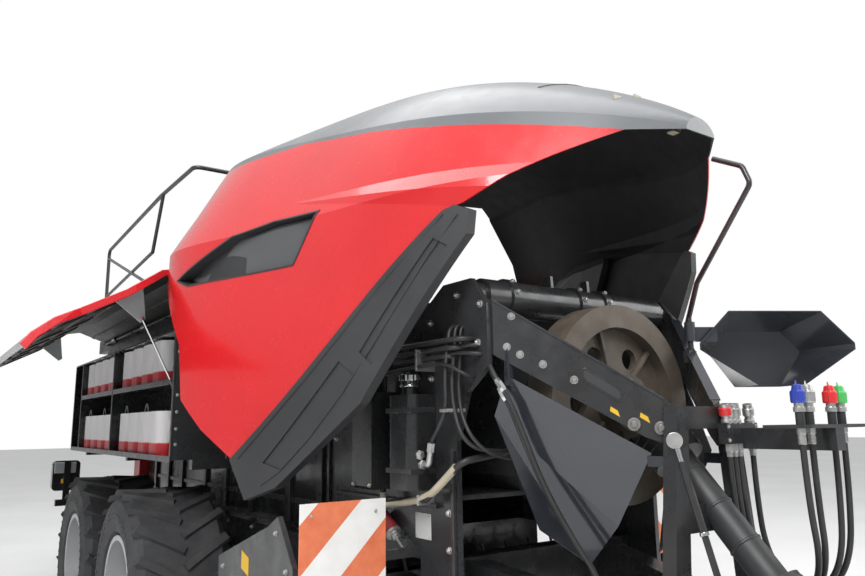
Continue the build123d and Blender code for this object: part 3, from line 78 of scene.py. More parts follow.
def noise(tree, scale, detail=4.0, rough=0.55, stretch=(1, 1, 1)):
    mapping = tree.nodes.new("ShaderNodeMapping")
    mapping.inputs["Scale"].default_value = stretch
    tex = tree.nodes.new("ShaderNodeTexNoise")
    tex.inputs["Scale"].default_value = scale
    tex.inputs["Detail"].default_value = detail
    tex.inputs["Roughness"].default_value = rough
    tree.links.new(coordinates(tree), mapping.inputs["Vector"])
    tree.links.new(mapping.outputs[0], tex.inputs["Vector"])
    return tex.outputs["Fac"]


def ramp(tree, value, stops):
    node = tree.nodes.new("ShaderNodeValToRGB")
    ends = node.color_ramp
    while len(ends.elements) < len(stops):
        ends.elements.new(0.5)
    for element, (place, colour) in zip(ends.elements, stops):
        element.position = place
        element.color = (*colour, 1.0)
    tree.links.new(value, node.inputs[0])
    return node.outputs[0]


def scaled(tree, value, low, high, new_low, new_high):
    node = tree.nodes.new("ShaderNodeMapRange")
    for key, number in (("From Min", low), ("From Max", high), ("To Min", new_low), ("To Max", new_high)):
        node.inputs[key].default_value = number
    tree.links.new(value, node.inputs["Value"])
    return node.outputs[0]


def mix(tree, factor, a, b):
    node = tree.nodes.new("ShaderNodeMix")
    node.data_type = "RGBA"
    tree.links.new(factor, node.inputs[0])
    for socket, value in ((node.inputs[6], a), (node.inputs[7], b)):
        if isinstance(value, tuple):
            socket.default_value = (*value, 1.0)
        else:
            tree.links.new(value, socket)
    return node.outputs[2]


def bump(tree, height, strength, distance, normal=None):
    node = tree.nodes.new("ShaderNodeBump")
    node.inputs["Strength"].default_value = strength
    node.inputs["Distance"].default_value = distance
    tree.links.new(height, node.inputs["Height"])
    if normal is not None:
        tree.links.new(normal, node.inputs["Normal"])
    return node.outputs[0]


def upward(tree):
    geo = tree.nodes.new("ShaderNodeNewGeometry")
    split = tree.nodes.new("ShaderNodeSeparateXYZ")
    tree.links.new(geo.outputs["Normal"], split.inputs[0])
    return split.outputs["Z"]


def maths(tree, kind, a, b, clamp=False):
    node = tree.nodes.new("ShaderNodeMath")
    node.operation = kind
    node.use_clamp = clamp
    for socket, value in zip(node.inputs, (a, b)):
        if isinstance(value, (int, float)):
            socket.default_value = value
        else:
            tree.links.new(value, socket)
    return node.outputs[0]


def dot(tree, a, b):
    node = tree.nodes.new("ShaderNodeVectorMath")
    node.operation = "DOT_PRODUCT"
    for socket, value in zip(node.inputs, (a, b)):
        if isinstance(value, tuple):
            socket.default_value = value
        else:
            tree.links.new(value, socket)
    return node.outputs["Value"]


def faces_out(tree, centre):
    """1 where the surface looks away from the centre, 0 on the inside of a cover."""
    away = tree.nodes.new("ShaderNodeVectorMath")
    away.operation = "SUBTRACT"
    away.inputs[1].default_value = centre
    tree.links.new(coordinates(tree), away.inputs[0])
    return maths(tree, "GREATER_THAN", dot(tree, coordinates(tree, "Normal"), away.outputs[0]), 0.0)


def crease(tree, low, high, lift):
    """Height of a low ridge between two lines on the skin, each a direction and its reach."""
    over = maths(tree, "SUBTRACT", dot(tree, coordinates(tree), low[0]), low[1])
    under = maths(tree, "SUBTRACT", high[1], dot(tree, coordinates(tree), high[0]))
    ridge = maths(tree, "MAXIMUM", maths(tree, "MINIMUM", over, under), 0.0)
    return maths(tree, "MULTIPLY", ridge, lift)


def painted(name, low, high, rough=(0.28, 0.5), metallic=0.0, coat=0.0, dust=0.0,
            dust_colour=(0.16, 0.13, 0.10), grain=900.0, grain_depth=0.0, patch=1.6, coat_rough=0.08,
            inside=None, centre=(0, 0, 0), folds=(), tread=0.0):
    """Paint or plastic with soft colour patches, uneven gloss, fine grain and dust that lies on top."""
    mat, tree, bsdf = new_material(name)
    patches = noise(tree, patch, 5.0)
    colour = ramp(tree, patches, ((0.3, low), (0.72, high)))
    if dust:
        speck = scaled(tree, noise(tree, 7.0, 8.0, 0.7), 0.42, 0.72, 0.0, 1.0)
        lie = scaled(tree, upward(tree), 0.0, 1.0, 0.25, 1.0)
        lying = maths(tree, "MULTIPLY", maths(tree, "MULTIPLY", speck, lie, True), dust, True)
        colour = mix(tree, lying, colour, dust_colour)
    gloss = scaled(tree, noise(tree, 11.0, 6.0), 0.3, 0.7, rough[0], rough[1])
    shine = coat
    if inside:
        out = faces_out(tree, centre)
        dusty = tuple(1.8 * c + 0.006 for c in inside)
        streaks = noise(tree, 3.0, 8.0, 0.7, (1.0, 0.4, 1.0))
        grime = ramp(tree, streaks, ((0.35, inside), (0.75, dusty)))
        colour = mix(tree, out, grime, colour)
        gloss = maths(tree, "ADD", gloss, maths(tree, "MULTIPLY", maths(tree, "SUBTRACT", 1.0, out), 0.25))
        shine = maths(tree, "MULTIPLY", out, coat)
    tree.links.new(colour, bsdf.inputs["Base Color"])
    tree.links.new(gloss, bsdf.inputs["Roughness"])
    bsdf.inputs["Metallic"].default_value = metallic
    if isinstance(shine, float):
        bsdf.inputs["Coat Weight"].default_value = shine
    else:
        tree.links.new(shine, bsdf.inputs["Coat Weight"])
    bsdf.inputs["Coat Roughness"].default_value = coat_rough
    normal = None
    for low_line, high_line, lift in folds:
        normal = bump(tree, crease(tree, low_line, high_line, lift), 1.0, 1.0, normal)
    if tread:
        cells = tree.nodes.new("ShaderNodeTexVoronoi")
        cells.inputs["Scale"].default_value = 26.0
        tree.links.new(coordinates(tree), cells.inputs["Vector"])
        studs = ramp(tree, cells.outputs["Distance"], ((0.22, (1, 1, 1)), (0.34, (0, 0, 0))))
        normal = bump(tree, studs, 0.8, tread, normal)
    if grain_depth:
        normal = bump(tree, noise(tree, grain, 2.0), 0.6, grain_depth, normal)
    if normal is not None:
        tree.links.new(normal, bsdf.inputs["Normal"])
        if coat:
            tree.links.new(normal, bsdf.inputs["Coat Normal"])
    return mat


HOOD_MIDDLE = (0.0, -0.9, 2.25)
HOOD_FOLDS = ((((0.0, -0.2156, 0.9765), 2.974), ((0.0, -0.0614, 0.9981), 2.7795), 0.22),)

RED = painted("red_gloss", (0.62, 0.008, 0.012), (0.70, 0.014, 0.018), rough=(0.20, 0.30), coat=0.8,
              grain=60.0, grain_depth=0.0003, dust=0.04, dust_colour=(0.5, 0.2, 0.18),
              inside=(0.006, 0.006, 0.007), centre=HOOD_MIDDLE, folds=HOOD_FOLDS)
RED_FRAME = painted("red_frame", (0.42, 0.010, 0.012), (0.52, 0.014, 0.018), rough=(0.3, 0.45), coat=0.3,
                    dust=0.3, grain=80.0, grain_depth=0.0004)
CAP = painted("grey_cap", (0.125, 0.135, 0.145), (0.165, 0.175, 0.185), rough=(0.28, 0.38), coat=0.25,
              grain=500.0, grain_depth=0.0004, dust=0.05, dust_colour=(0.25, 0.24, 0.22),
              inside=(0.006, 0.006, 0.007), centre=HOOD_MIDDLE)
PLASTIC = painted("dark_plastic", (0.026, 0.027, 0.029), (0.044, 0.045, 0.048), rough=(0.40, 0.52),
                  grain=420.0, grain_depth=0.0008, dust=0.08, coat=0.12, coat_rough=0.3)
# Scoop inset: dark grey plastic, painted lighter than it is, so its colour also stands in for the sky's
# reflection on the upward floor (painted reflection)
SCOOP_GREY_AND_REFLECTION = painted("scoop_grey_and_painted_reflection", (0.085, 0.088, 0.092), (0.115, 0.118, 0.122), rough=(0.36, 0.46),
                grain=420.0, grain_depth=0.0006, dust=0.06)
DOOR_OUT = painted("door_skin", (0.30, 0.31, 0.32), (0.40, 0.41, 0.42), rough=(0.2, 0.3), coat=0.6,
                   grain=60.0, grain_depth=0.0003, inside=(0.010, 0.009, 0.008), centre=(0.0, 1.0, 1.0))
DOOR_RED = painted("door_edge_red", (0.60, 0.010, 0.016), (0.72, 0.020, 0.028), rough=(0.22, 0.34), coat=0.5,
                   grain=60.0, grain_depth=0.0003)
DOOR_RIB = painted("door_rib_black", (0.010, 0.009, 0.008), (0.030, 0.026, 0.018), rough=(0.45, 0.65),
                   dust=0.4, dust_colour=(0.09, 0.075, 0.05), grain=200.0, grain_depth=0.0006, patch=3.0)
BRACKET = painted("bracket_grey", (0.42, 0.45, 0.46), (0.52, 0.55, 0.56), rough=(0.35, 0.5),
                  grain=90.0, grain_depth=0.0004, dust=0.1)
BLACK = painted("black_paint", (0.010, 0.011, 0.012), (0.020, 0.021, 0.023), rough=(0.16, 0.34), coat=0.35,
                dust=0.20, grain=80.0, grain_depth=0.0003)
STEEL = painted("dark_steel", (0.018, 0.019, 0.021), (0.032, 0.034, 0.037), rough=(0.2, 0.42), coat=0.3,
                dust=0.30, grain=120.0, grain_depth=0.0005)
GUARD = painted("glossy_guard", (0.030, 0.034, 0.042), (0.046, 0.051, 0.062), rough=(0.10, 0.22), coat=0.8,
                metallic=0.25, dust=0.10, grain=70.0, grain_depth=0.0003)
DECK = painted("deck_tread", (0.014, 0.015, 0.016), (0.028, 0.029, 0.031), rough=(0.3, 0.5), dust=0.5,
               dust_colour=(0.10, 0.09, 0.08), tread=0.004, grain=90.0, grain_depth=0.0004)
CAST = painted("dusty_cast", (0.050, 0.040, 0.031), (0.13, 0.105, 0.08), rough=(0.45, 0.7), dust=0.7,
               dust_colour=(0.20, 0.16, 0.12), grain=60.0, grain_depth=0.002, patch=5.0)
SHIELD = painted("shield_grey", (0.034, 0.038, 0.046), (0.052, 0.057, 0.068), rough=(0.14, 0.26), coat=0.6,
                 metallic=0.15, dust=0.10, grain=90.0, grain_depth=0.0004)
SILVER = painted("silver_rim", (0.42, 0.43, 0.44), (0.52, 0.53, 0.54), rough=(0.3, 0.45), metallic=0.25,
                 dust=0.35, grain=90.0, grain_depth=0.0004)
CHROME = painted("chrome", (0.62, 0.63, 0.64), (0.72, 0.73, 0.74), rough=(0.07, 0.16), metallic=1.0)
ZINC = painted("zinc_bolt", (0.42, 0.42, 0.41), (0.58, 0.58, 0.57), rough=(0.22, 0.4), metallic=0.8,
               grain=300.0, grain_depth=0.0003, patch=30.0)
WORN = painted("worn_steel", (0.22, 0.21, 0.20), (0.38, 0.37, 0.36), rough=(0.3, 0.5), metallic=0.85,
               dust=0.3, grain=200.0, grain_depth=0.0005)
RUBBER = painted("tyre_rubber", (0.022, 0.023, 0.025), (0.048, 0.049, 0.053), rough=(0.55, 0.75), dust=0.55,
                 dust_colour=(0.12, 0.115, 0.11), grain=150.0, grain_depth=0.0015, patch=5.0)
HOSE = painted("hose_rubber", (0.014, 0.014, 0.015), (0.030, 0.030, 0.031), rough=(0.36, 0.5), dust=0.25,
               dust_colour=(0.10, 0.095, 0.09), grain=900.0, grain_depth=0.0004, patch=9.0)
BEIGE = painted("beige_hose", (0.42, 0.38, 0.28), (0.55, 0.50, 0.38), rough=(0.3, 0.45), dust=0.3,
                dust_colour=(0.22, 0.19, 0.13), grain=300.0, grain_depth=0.0004, patch=8.0)
LABEL = painted("blank_label", (0.52, 0.53, 0.52), (0.60, 0.61, 0.60), rough=(0.35, 0.5), dust=0.15)
YELLOW = painted("yellow_mark", (0.70, 0.42, 0.02), (0.78, 0.50, 0.03), rough=(0.35, 0.5), dust=0.15)
RED_CAP = painted("red_coupling", (0.60, 0.02, 0.02), (0.72, 0.03, 0.03), rough=(0.25, 0.4), coat=0.3)
GREEN_CAP = painted("green_coupling", (0.05, 0.42, 0.09), (0.09, 0.52, 0.13), rough=(0.25, 0.4), coat=0.3)
BLUE_CAP = painted("blue_coupling", (0.02, 0.04, 0.30), (0.03, 0.06, 0.42), rough=(0.25, 0.4), coat=0.3)
BOOT = painted("dark_red_boot", (0.16, 0.012, 0.016), (0.24, 0.02, 0.025), rough=(0.4, 0.55), dust=0.2)
LAMP = painted("lamp_body", (0.012, 0.012, 0.013), (0.02, 0.02, 0.022), rough=(0.12, 0.25), coat=0.5)
CLEAR = painted("lamp_clear", (0.42, 0.44, 0.46), (0.56, 0.58, 0.60), rough=(0.05, 0.12), coat=0.8,
                metallic=0.3, grain=180.0, grain_depth=0.0015)
AMBER = painted("lamp_amber", (0.80, 0.30, 0.01), (0.88, 0.38, 0.02), rough=(0.08, 0.16), coat=0.8,
                grain=180.0, grain_depth=0.0015)
TAIL_RED = painted("lamp_red", (0.50, 0.01, 0.01), (0.62, 0.02, 0.02), rough=(0.08, 0.16), coat=0.8,
                   grain=180.0, grain_depth=0.0015)


def twine_material():
    """Wrapped twine packs: white film above, red band below, with creases in the film."""
    mat, tree, bsdf = new_material("twine_wrap")
    split = tree.nodes.new("ShaderNodeSeparateXYZ")
    tree.links.new(coordinates(tree), split.inputs[0])
    high = maths(tree, "GREATER_THAN", split.outputs["Z"], 1.84)
    drop = maths(tree, "SUBTRACT", split.outputs["Z"], scaled(tree, high, 0.0, 1.0, 1.390, 1.850))
    part = scaled(tree, drop, 0.0, 0.285, 0.0, 1.0)
    wobble = scaled(tree, noise(tree, 30.0), 0.0, 1.0, -0.015, 0.015)
    colour = ramp(tree, maths(tree, "ADD", part, wobble),
                  ((0.0, (0.42, 0.012, 0.018)), (0.27, (0.58, 0.02, 0.03)), (0.30, (0.78, 0.76, 0.76)),
                   (1.0, (0.88, 0.87, 0.87))))
    tree.links.new(colour, bsdf.inputs["Base Color"])
    bsdf.inputs["Roughness"].default_value = 0.32
    creases = noise(tree, 22.0, 6.0, 0.6, (1.0, 1.0, 0.35))
    tree.links.new(bump(tree, creases, 0.7, 0.012), bsdf.inputs["Normal"])
    return mat


def hazard_material():
    """White plate with slanting salmon-red stripes that run down and outwards on each side."""
    mat, tree, bsdf = new_material("hazard_stripes")
    split = tree.nodes.new("ShaderNodeSeparateXYZ")
    tree.links.new(coordinates(tree), split.inputs[0])
    out = maths(tree, "ABSOLUTE", split.outputs["X"], 0.0)
    slant = maths(tree, "MULTIPLY", maths(tree, "ADD", out, split.outputs["Z"]), 2.5)
    stripe = maths(tree, "GREATER_THAN", maths(tree, "FRACT", slant, 0.0), 0.5)
    red = ramp(tree, noise(tree, 14.0), ((0.3, (0.72, 0.16, 0.07)), (0.7, (0.84, 0.24, 0.11))))
    white = ramp(tree, noise(tree, 9.0), ((0.3, (0.80, 0.79, 0.76)), (0.7, (0.90, 0.89, 0.87))))
    tree.links.new(mix(tree, stripe, white, red), bsdf.inputs["Base Color"])
    tree.links.new(scaled(tree, noise(tree, 20.0), 0.3, 0.7, 0.3, 0.5), bsdf.inputs["Roughness"])
    tree.links.new(bump(tree, noise(tree, 500.0, 2.0), 0.5, 0.0004), bsdf.inputs["Normal"])
    return mat


TWINE = twine_material()
HAZARD = hazard_material()

LOOK = {
    "hood_sides": RED, "density_frame": RED_FRAME, "hood_cap": CAP, "hood_skirts": PLASTIC,
    "hood_scoops": PLASTIC, "side_door_left": DOOR_OUT, "side_door_right": DOOR_OUT,
    "flywheel_shield": SHIELD, "flywheel": CAST, "twine_balls_left": TWINE, "twine_balls_right": TWINE,
    "twine_box_left": BLACK, "twine_box_right": BLACK, "hitch_eye": WORN, "jack_leg": WORN,
    "strut_rod_left": CHROME, "strut_rod_right": CHROME, "hazard_plates": HAZARD, "rear_lamps": LAMP,
    "oil_tank": BLACK, "valve_box": BLACK, "pto_shaft": PLASTIC, "roof_deck": DECK, "rear_steps": DECK,
    "gauge_wheel_left": RUBBER, "gauge_wheel_right": RUBBER, "bale_chamber": BLACK, "chassis_frame": BLACK,
    "front_guards": GUARD, "upper_beams": STEEL, "fixed_hoses": HOSE, "drawbar": BLACK,
}
for name, obj in nodes.items():
    look = LOOK.get(name, STEEL)
    if name.startswith("tyre"):
        look = RUBBER
    elif name.startswith("rim"):
        look = SILVER
    for entry in obj.material_slots:
        entry.material = look

# Hanging hoses: their common course in (y, z) from the block to the holder, and the x of each there
HOSE_D = 0.022
HOSE_SIDE = ((-3.285, 1.480), (-3.285, 1.270), (-3.295, 1.060), (-3.385, 0.940), (-3.500, 0.940),
             (-3.590, 1.060), (-3.600, 1.300), (-3.600, 1.540))
HOSE_PLACES = {
    "hose_1": (0.081, 0.081, 0.122, 0.152, 0.146, 0.104, 0.040, 0.040),
    "hose_2": (0.114, 0.114, 0.155, 0.186, 0.182, 0.146, 0.104, 0.104),
    "hose_3": (0.147, 0.147, 0.190, 0.222, 0.228, 0.246, 0.262, 0.262),
    "hose_4": (0.239, 0.239, 0.256, 0.272, 0.282, 0.306, 0.332, 0.332),
}


def line_piece(name, places, radius, look, body="frame"):
    """A round bar, cable or hose along a smooth line."""
    curve = bpy.data.curves.new(name, "CURVE")
    curve.dimensions = "3D"
    curve.bevel_depth = radius
    curve.bevel_resolution = 5
    curve.resolution_u = 12
    curve.use_fill_caps = True
    spline = curve.splines.new("NURBS")
    spline.points.add(len(places) - 1)
    for point, place in zip(spline.points, places):
        point.co = (*place, 1.0)
    spline.order_u = min(3, len(places))
    spline.use_endpoint_u = True
    curve.materials.append(look)
    obj = bpy.data.objects.new(name, curve)
    scene.collection.objects.link(obj)
    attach(obj, body)
    return obj


for name, across in HOSE_PLACES.items():
    route = [(x, y, z) for x, (y, z) in zip(across, HOSE_SIDE)]
    rubber = line_piece(name + "_rubber", route, HOSE_D / 2, HOSE)
    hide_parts(name)


def skin(bm, rings):
    """Closes a row of rings, each with as many points, into a solid form."""
    rows = [[bm.verts.new(p) for p in ring] for ring in rings]
    count = len(rows[0])
    for a, b in zip(rows, rows[1:]):
        for i in range(count):
            j = (i + 1) % count
            bm.faces.new((a[i], a[j], b[j], b[i]))
    bm.faces.new(rows[0][::-1])
    bm.faces.new(rows[-1])


def prism(bm, outline, depth):
    points = [Vector(p) for p in outline]
    skin(bm, [points, [p + Vector(depth) for p in points]])


def block(bm, low, high):
    (x0, y0, z0), (x1, y1, z1) = low, high
    prism(bm, ((x0, y0, z0), (x1, y0, z0), (x1, y1, z0), (x0, y1, z0)), (0, 0, z1 - z0))


def turns(count, first=0.0):
    """Cosine and sine of equal steps round a circle."""
    angles = [first + 2 * math.pi * i / count for i in range(count)]
    return [(math.cos(a), math.sin(a)) for a in angles]


def lathe(bm, profile, origin, axis, count=24):
    """Turns a profile of (along, radius) about an axis that starts at origin."""
    axis = Vector(axis).normalized()
    side = axis.orthogonal().normalized()
    other = axis.cross(side)
    skin(bm, [[Vector(origin) + axis * along + (side * c + other * s) * radius for c, s in turns(count)]
              for along, radius in profile])


def bolt(bm, place, axis, size):
    """Washer, six-sided head with a rounded top, and the end of the thread."""
    lathe(bm, ((-0.002, size * 1.25), (size * 0.2, size * 1.25), (size * 0.26, size * 1.15)), place, axis, 20)
    lathe(bm, ((0.0, size), (size * 0.85, size), (size * 1.0, size * 0.86)), place, axis, 6)
    lathe(bm, ((0.0, size * 0.45), (size * 1.25, size * 0.45), (size * 1.32, size * 0.38)), place, axis, 12)


def piece(name, bm, look, bevel=0.0, body="frame", segments=2):
    bmesh.ops.recalc_face_normals(bm, faces=bm.faces)
    mesh = bpy.data.meshes.new(name)
    bm.to_mesh(mesh)
    bm.free()
    mesh.materials.append(look)
    obj = bpy.data.objects.new(name, mesh)
    scene.collection.objects.link(obj)
    if bevel:
        edge = obj.modifiers.new("edge", "BEVEL")
        edge.width = bevel
        edge.segments = segments
        edge.limit_method = "ANGLE"
        edge.angle_limit = 0.5
    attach(obj, body)


def bolts(name, places, axis, size, body="frame"):
    bm = bmesh.new()
    for place in places:
        bolt(bm, place, axis, size)
    piece(name, bm, ZINC, body=body)


TREES = {}


def hits(node, starts, direction):
    """Where rays meet a CAD node. Rays that miss it are left out."""
    if node not in TREES:
        mesh = nodes[node].data
        TREES[node] = BVHTree.FromPolygons([v.co.copy() for v in mesh.vertices],
                                           [tuple(p.vertices) for p in mesh.polygons])
    found = [TREES[node].ray_cast(Vector(start), Vector(direction))[0] for start in starts]
    return [spot for spot in found if spot is not None]


SIDES = ((-1, "right"), (1, "left"))
UP, DOWN, FORWARD = Vector((0, 0, 1)), Vector((0, 0, -1)), Vector((0, -1, 0))

# Places on the CAD model that the details sit on
HOLDER_Y = -3.600
HOLDER_FOOT_Z = 1.540
COUPLING_FOOT_Z = 1.597  # 3 mm down in the stubs of the holder
CAP_FOOT_Z = 1.628
BLOCK_Y = -3.285  # hoses at the block on the portal
BLOCK_FRONT_Y = -3.300
PLATE_X = 0.636  # outer face of a front plate
CHAMBER_X = 0.612  # outer face of the chamber's side
CHAMBER_ROOF_Z = 1.912
RAIL_X = 0.728  # outer face of a chassis rail
PRESS_X = 0.698  # 2 mm inside the face of the pressing frame
TANK_FRONT_Y = -2.330
VALVE_X = -0.800
GEARBOX_FRONT_Y = -2.480  # its housing, behind the snout
HUB_FRONT_Y = -2.890
WEB_Y = -2.792  # near the front of the flywheel's web, which slopes
FLYWHEEL_Z = 1.650
PTO_REAR = Vector((0.0, -2.990, 1.560))
PTO_WAY = Vector((0.0, -3.600, 0.860)) - PTO_REAR
TUBE_Y, TUBE_Z, TUBE_R = -2.570, 2.110, 0.090
BOX_FRONT_Y = -0.500
BOX_X = 1.258  # 4 mm inside the outer face of a twine box
COVER_X = 1.209  # outer face of a pick-up cover
HAZARD_Y = -2.206
WHEELS = (("front", -0.090), ("rear", 1.350))
WHEEL_X = 1.180
WHEEL_Z = 0.600
WHEEL_HUB_X = 1.110


def turned(name, forms, look, bevel=0.0, body="frame"):
    """One piece of turned forms, each a profile with its origin, axis and number of sides."""
    bm = bmesh.new()
    for form in forms:
        lathe(bm, *form)
    piece(name, bm, look, bevel, body)


def mirrored(p, flip):
    """The place itself, or with a flip of -1 its mirror image on the other side."""
    return Vector((p[0] * flip, p[1], p[2]))


def both(make):
    for side, label in SIDES:
        make(side, label)


# Profiles of a coupling body, its neck, and the coloured sleeve over it
COUPLING = ((0.0, 0.020), (0.016, 0.020), (0.018, 0.0165), (0.030, 0.0165), (0.032, 0.022),
            (0.060, 0.022), (0.063, 0.018), (0.078, 0.018))
NECK = ((0.0, 0.0165), (0.018, 0.0165), (0.020, 0.0145), (0.055, 0.0145), (0.057, 0.012))
SLEEVE = ((0.0, 0.012), (0.0, 0.024), (0.006, 0.026), (0.040, 0.026), (0.046, 0.020), (0.062, 0.017),
          (0.066, 0.010))
NUT = ((0.0, 0.0165), (0.030, 0.0165), (0.033, 0.0135), (0.050, 0.0135))
RED_RING = ((0.0, 0.012), (0.0, 0.0235), (0.028, 0.0235), (0.032, 0.018))
BLOCK_LEAN = (-0.25, -0.1, 1)


def holder_couplings():
    for name, look in (("hose_1", BLUE_CAP), ("hose_2", ZINC), ("hose_3", RED_CAP), ("hose_4", GREEN_CAP)):
        x = HOSE_PLACES[name][-1]
        turned(name + "_coupling", ((COUPLING, (x, HOLDER_Y, COUPLING_FOOT_Z), UP),
                                    (NECK, (x, HOLDER_Y, HOLDER_FOOT_Z), DOWN, 16)), ZINC, 0.0008)
        turned(name + "_cap", ((SLEEVE, (x, HOLDER_Y, CAP_FOOT_Z), UP),), look, 0.001)
        loop = [(x, -3.600, 1.690), (x - 0.018, -3.605, 1.712), (x - 0.030, -3.612, 1.690),
                (x - 0.028, -3.612, 1.650), (x - 0.022, -3.606, 1.632)]
        line_piece(name + "_loop", loop, 0.0022, look)


def block_couplings():
    for i, x in enumerate((0.081, 0.114, 0.147, 0.239)):
        turned(f"block_coupling_{i + 1}", ((COUPLING, (x, -3.282, 1.558), BLOCK_LEAN, 20),), ZINC, 0.0008)
        turned(f"block_nut_{i + 1}", ((NUT, (x, BLOCK_Y, 1.481), DOWN, 6),), ZINC, 0.0008)
    turned("block_red_ring", ((RED_RING, (0.072, -3.286, 1.592), BLOCK_LEAN, 20),), RED_CAP, 0.001)
    bolts("block_bolts", [(x, BLOCK_FRONT_Y, z) for x in (0.066, 0.251) for z in (1.494, 1.546)],
          FORWARD, 0.006)


holder_couplings()
block_couplings()

# Right-hand upper beam: its middle line along the top, and the way out of its outer face
BEAM_REAR = Vector((-0.600, -2.700, 2.070))
BEAM_RUN = Vector((-0.150, -3.200, 1.640)) - BEAM_REAR
BEAM_OUT = Vector((-0.7433, -0.6689, 0.0))
FLANGE = ((0.0215, -0.004), (0.0215, 0.004), (-0.0215, 0.004), (-0.0215, -0.004))  # out and up
POCKET_AT = Vector((-0.329, -3.024, 1.713))
POCKET_DEEP = 0.0154  # from POCKET_AT in to the middle plane of the beam
POCKET_REACH = 0.062
POCKET_RINGS = (("pocket_rim", STEEL, 0.030, 0.0145, 0.0185), ("pocket", PLASTIC, 0.020, 0.0150, 0.0200))
BEAM_BOLTS = ((-0.575, -2.750, 1.875), (-0.540, -2.789, 1.842), (-0.480, -2.856, 1.800),
              (-0.400, -2.945, 1.735), (-0.560, -2.766, 2.000))
BEAM_PINS = ((-0.254, -3.107, 1.560), (-0.188, -3.180, 1.545))
PIN = ((-0.004, 0.026), (0.010, 0.026), (0.013, 0.023), (0.013, 0.013), (0.024, 0.013), (0.027, 0.010))


def beam_details(side, label):
    bm = bmesh.new()
    skin(bm, [[mirrored(BEAM_REAR + BEAM_RUN * t + BEAM_OUT * out + UP * lift, -side) for out, lift in FLANGE]
              for t in (0.0, 0.5, 0.97)])
    piece(f"beam_flange_{label}", bm, GUARD, 0.0015)

    along = BEAM_RUN.normalized()
    for tag, look, grow, low, high in POCKET_RINGS:
        near = [POCKET_AT + along * (math.copysign(POCKET_REACH, c) + grow * c) + UP * (grow * s)
                - BEAM_OUT * POCKET_DEEP for c, s in turns(28)]
        bm = bmesh.new()
        skin(bm, [[mirrored(p + BEAM_OUT * out, -side) for p in near] for out in (low, high)])
        piece(f"beam_{tag}_{label}", bm, look, 0.001)
    outward = mirrored(BEAM_OUT, -side)
    bolts(f"beam_bolts_{label}", [mirrored(p, -side) for p in BEAM_BOLTS], outward, 0.013)
    turned(f"beam_pins_{label}", [(PIN, mirrored(p, -side), outward) for p in BEAM_PINS], WORN, 0.001)


# Rod that hangs from the front pin of the right-hand beam
ROD_EYE = Vector((-0.222, -3.262, 1.500))
ROD_TOP = ROD_EYE + Vector((0.0, -0.010, -0.026))
ROD_WAY = Vector((-0.196, -3.450, 0.805)) - ROD_TOP
ROD = ((0.0, 0.010), (0.05, 0.010), (0.052, 0.014), (0.30, 0.014), (0.302, 0.012), (0.55, 0.012),
       (0.552, 0.015), (ROD_WAY.length, 0.015))


def hanging_rod():
    turned("rod_eye", ((((-0.008, 0.030), (0.008, 0.030)), ROD_EYE, BEAM_OUT),
                       (((-0.012, 0.016), (0.045, 0.016), (0.048, 0.013)), ROD_EYE - BEAM_OUT * 0.040,
                        BEAM_OUT, 20)), ZINC, 0.002)
    turned("hanging_rod", ((ROD, ROD_TOP, ROD_WAY, 20),), STEEL, 0.001)
    turned("rod_collars", ((((0.0, 0.0105), (0.055, 0.0105)), ROD_TOP, ROD_WAY, 20),
                           (((0.0, 0.0165), (0.012, 0.0165)), ROD_TOP + ROD_WAY.normalized() * 0.30,
                            ROD_WAY, 20)), CHROME, 0.001)


def yellow_marks():
    bm = bmesh.new()
    for p in ((-0.226, -3.138, 1.585), (-0.300, -3.056, 1.610)):
        middle = Vector(p) - BEAM_OUT * 0.0005
        u = BEAM_RUN.normalized() * 0.022
        v = UP * 0.010
        prism(bm, (middle - u - v, middle + u - v, middle + u * 0.6 + v, middle - u * 0.8 + v),
              BEAM_OUT * 0.0015)
    piece("yellow_marks", bm, YELLOW, 0.0004)


both(beam_details)
hanging_rod()
yellow_marks()

# Front plates: bolts in (y, z), ribs, and the blank label of the right-hand plate
PLATE_BOLTS = ((-2.66, 2.06), (-2.64, 1.90), (-2.50, 2.12), (-2.30, 2.02), (-2.10, 1.92), (-1.80, 1.86),
               (-1.50, 1.85), (-1.40, 1.50), (-1.40, 1.15), (-1.75, 1.05), (-2.42, 1.05), (-2.42, 1.20),
               (-2.44, 1.36), (-2.20, 0.90), (-2.30, 1.77), (-2.12, 1.80))
PLATE_RIBS = ((0.018, (-2.470, 0.86), (-2.452, 1.46)), (0.018, (-1.345, 1.02), (-1.325, 1.86)),
              (0.018, (-2.05, 1.915), (-1.40, 1.897)), (0.022, (-2.35, 1.235), (-1.45, 1.215)))
LABEL_Y, LABEL_Z, LABEL_THICK = (-2.285, -2.165), (1.075, 1.185), 0.003


def plate_details(side, label):
    x = side * PLATE_X
    bolts(f"plate_bolts_{label}", [(x, y, z) for y, z in PLATE_BOLTS], (side, 0, 0), 0.013)
    bm = bmesh.new()
    for deep, (y0, z0), (y1, z1) in PLATE_RIBS:
        block(bm, (x, y0, z0), (x + side * deep, y1, z1))
    piece(f"plate_ribs_{label}", bm, STEEL, 0.003)


def blank_label():
    (y0, y1), (z0, z1) = LABEL_Y, LABEL_Z
    bm = bmesh.new()
    prism(bm, [(-PLATE_X, y, z) for y, z in ((y0, z0), (y1, z0), (y1, z1), (y0, z1))], (-LABEL_THICK, 0, 0))
    piece("blank_label", bm, LABEL, 0.001)
    rivets = [(-PLATE_X - LABEL_THICK, y, z) for y in (-2.275, -2.175) for z in (1.085, 1.175)]
    bolts("label_rivets", rivets, (-1, 0, 0), 0.003)


both(plate_details)
blank_label()

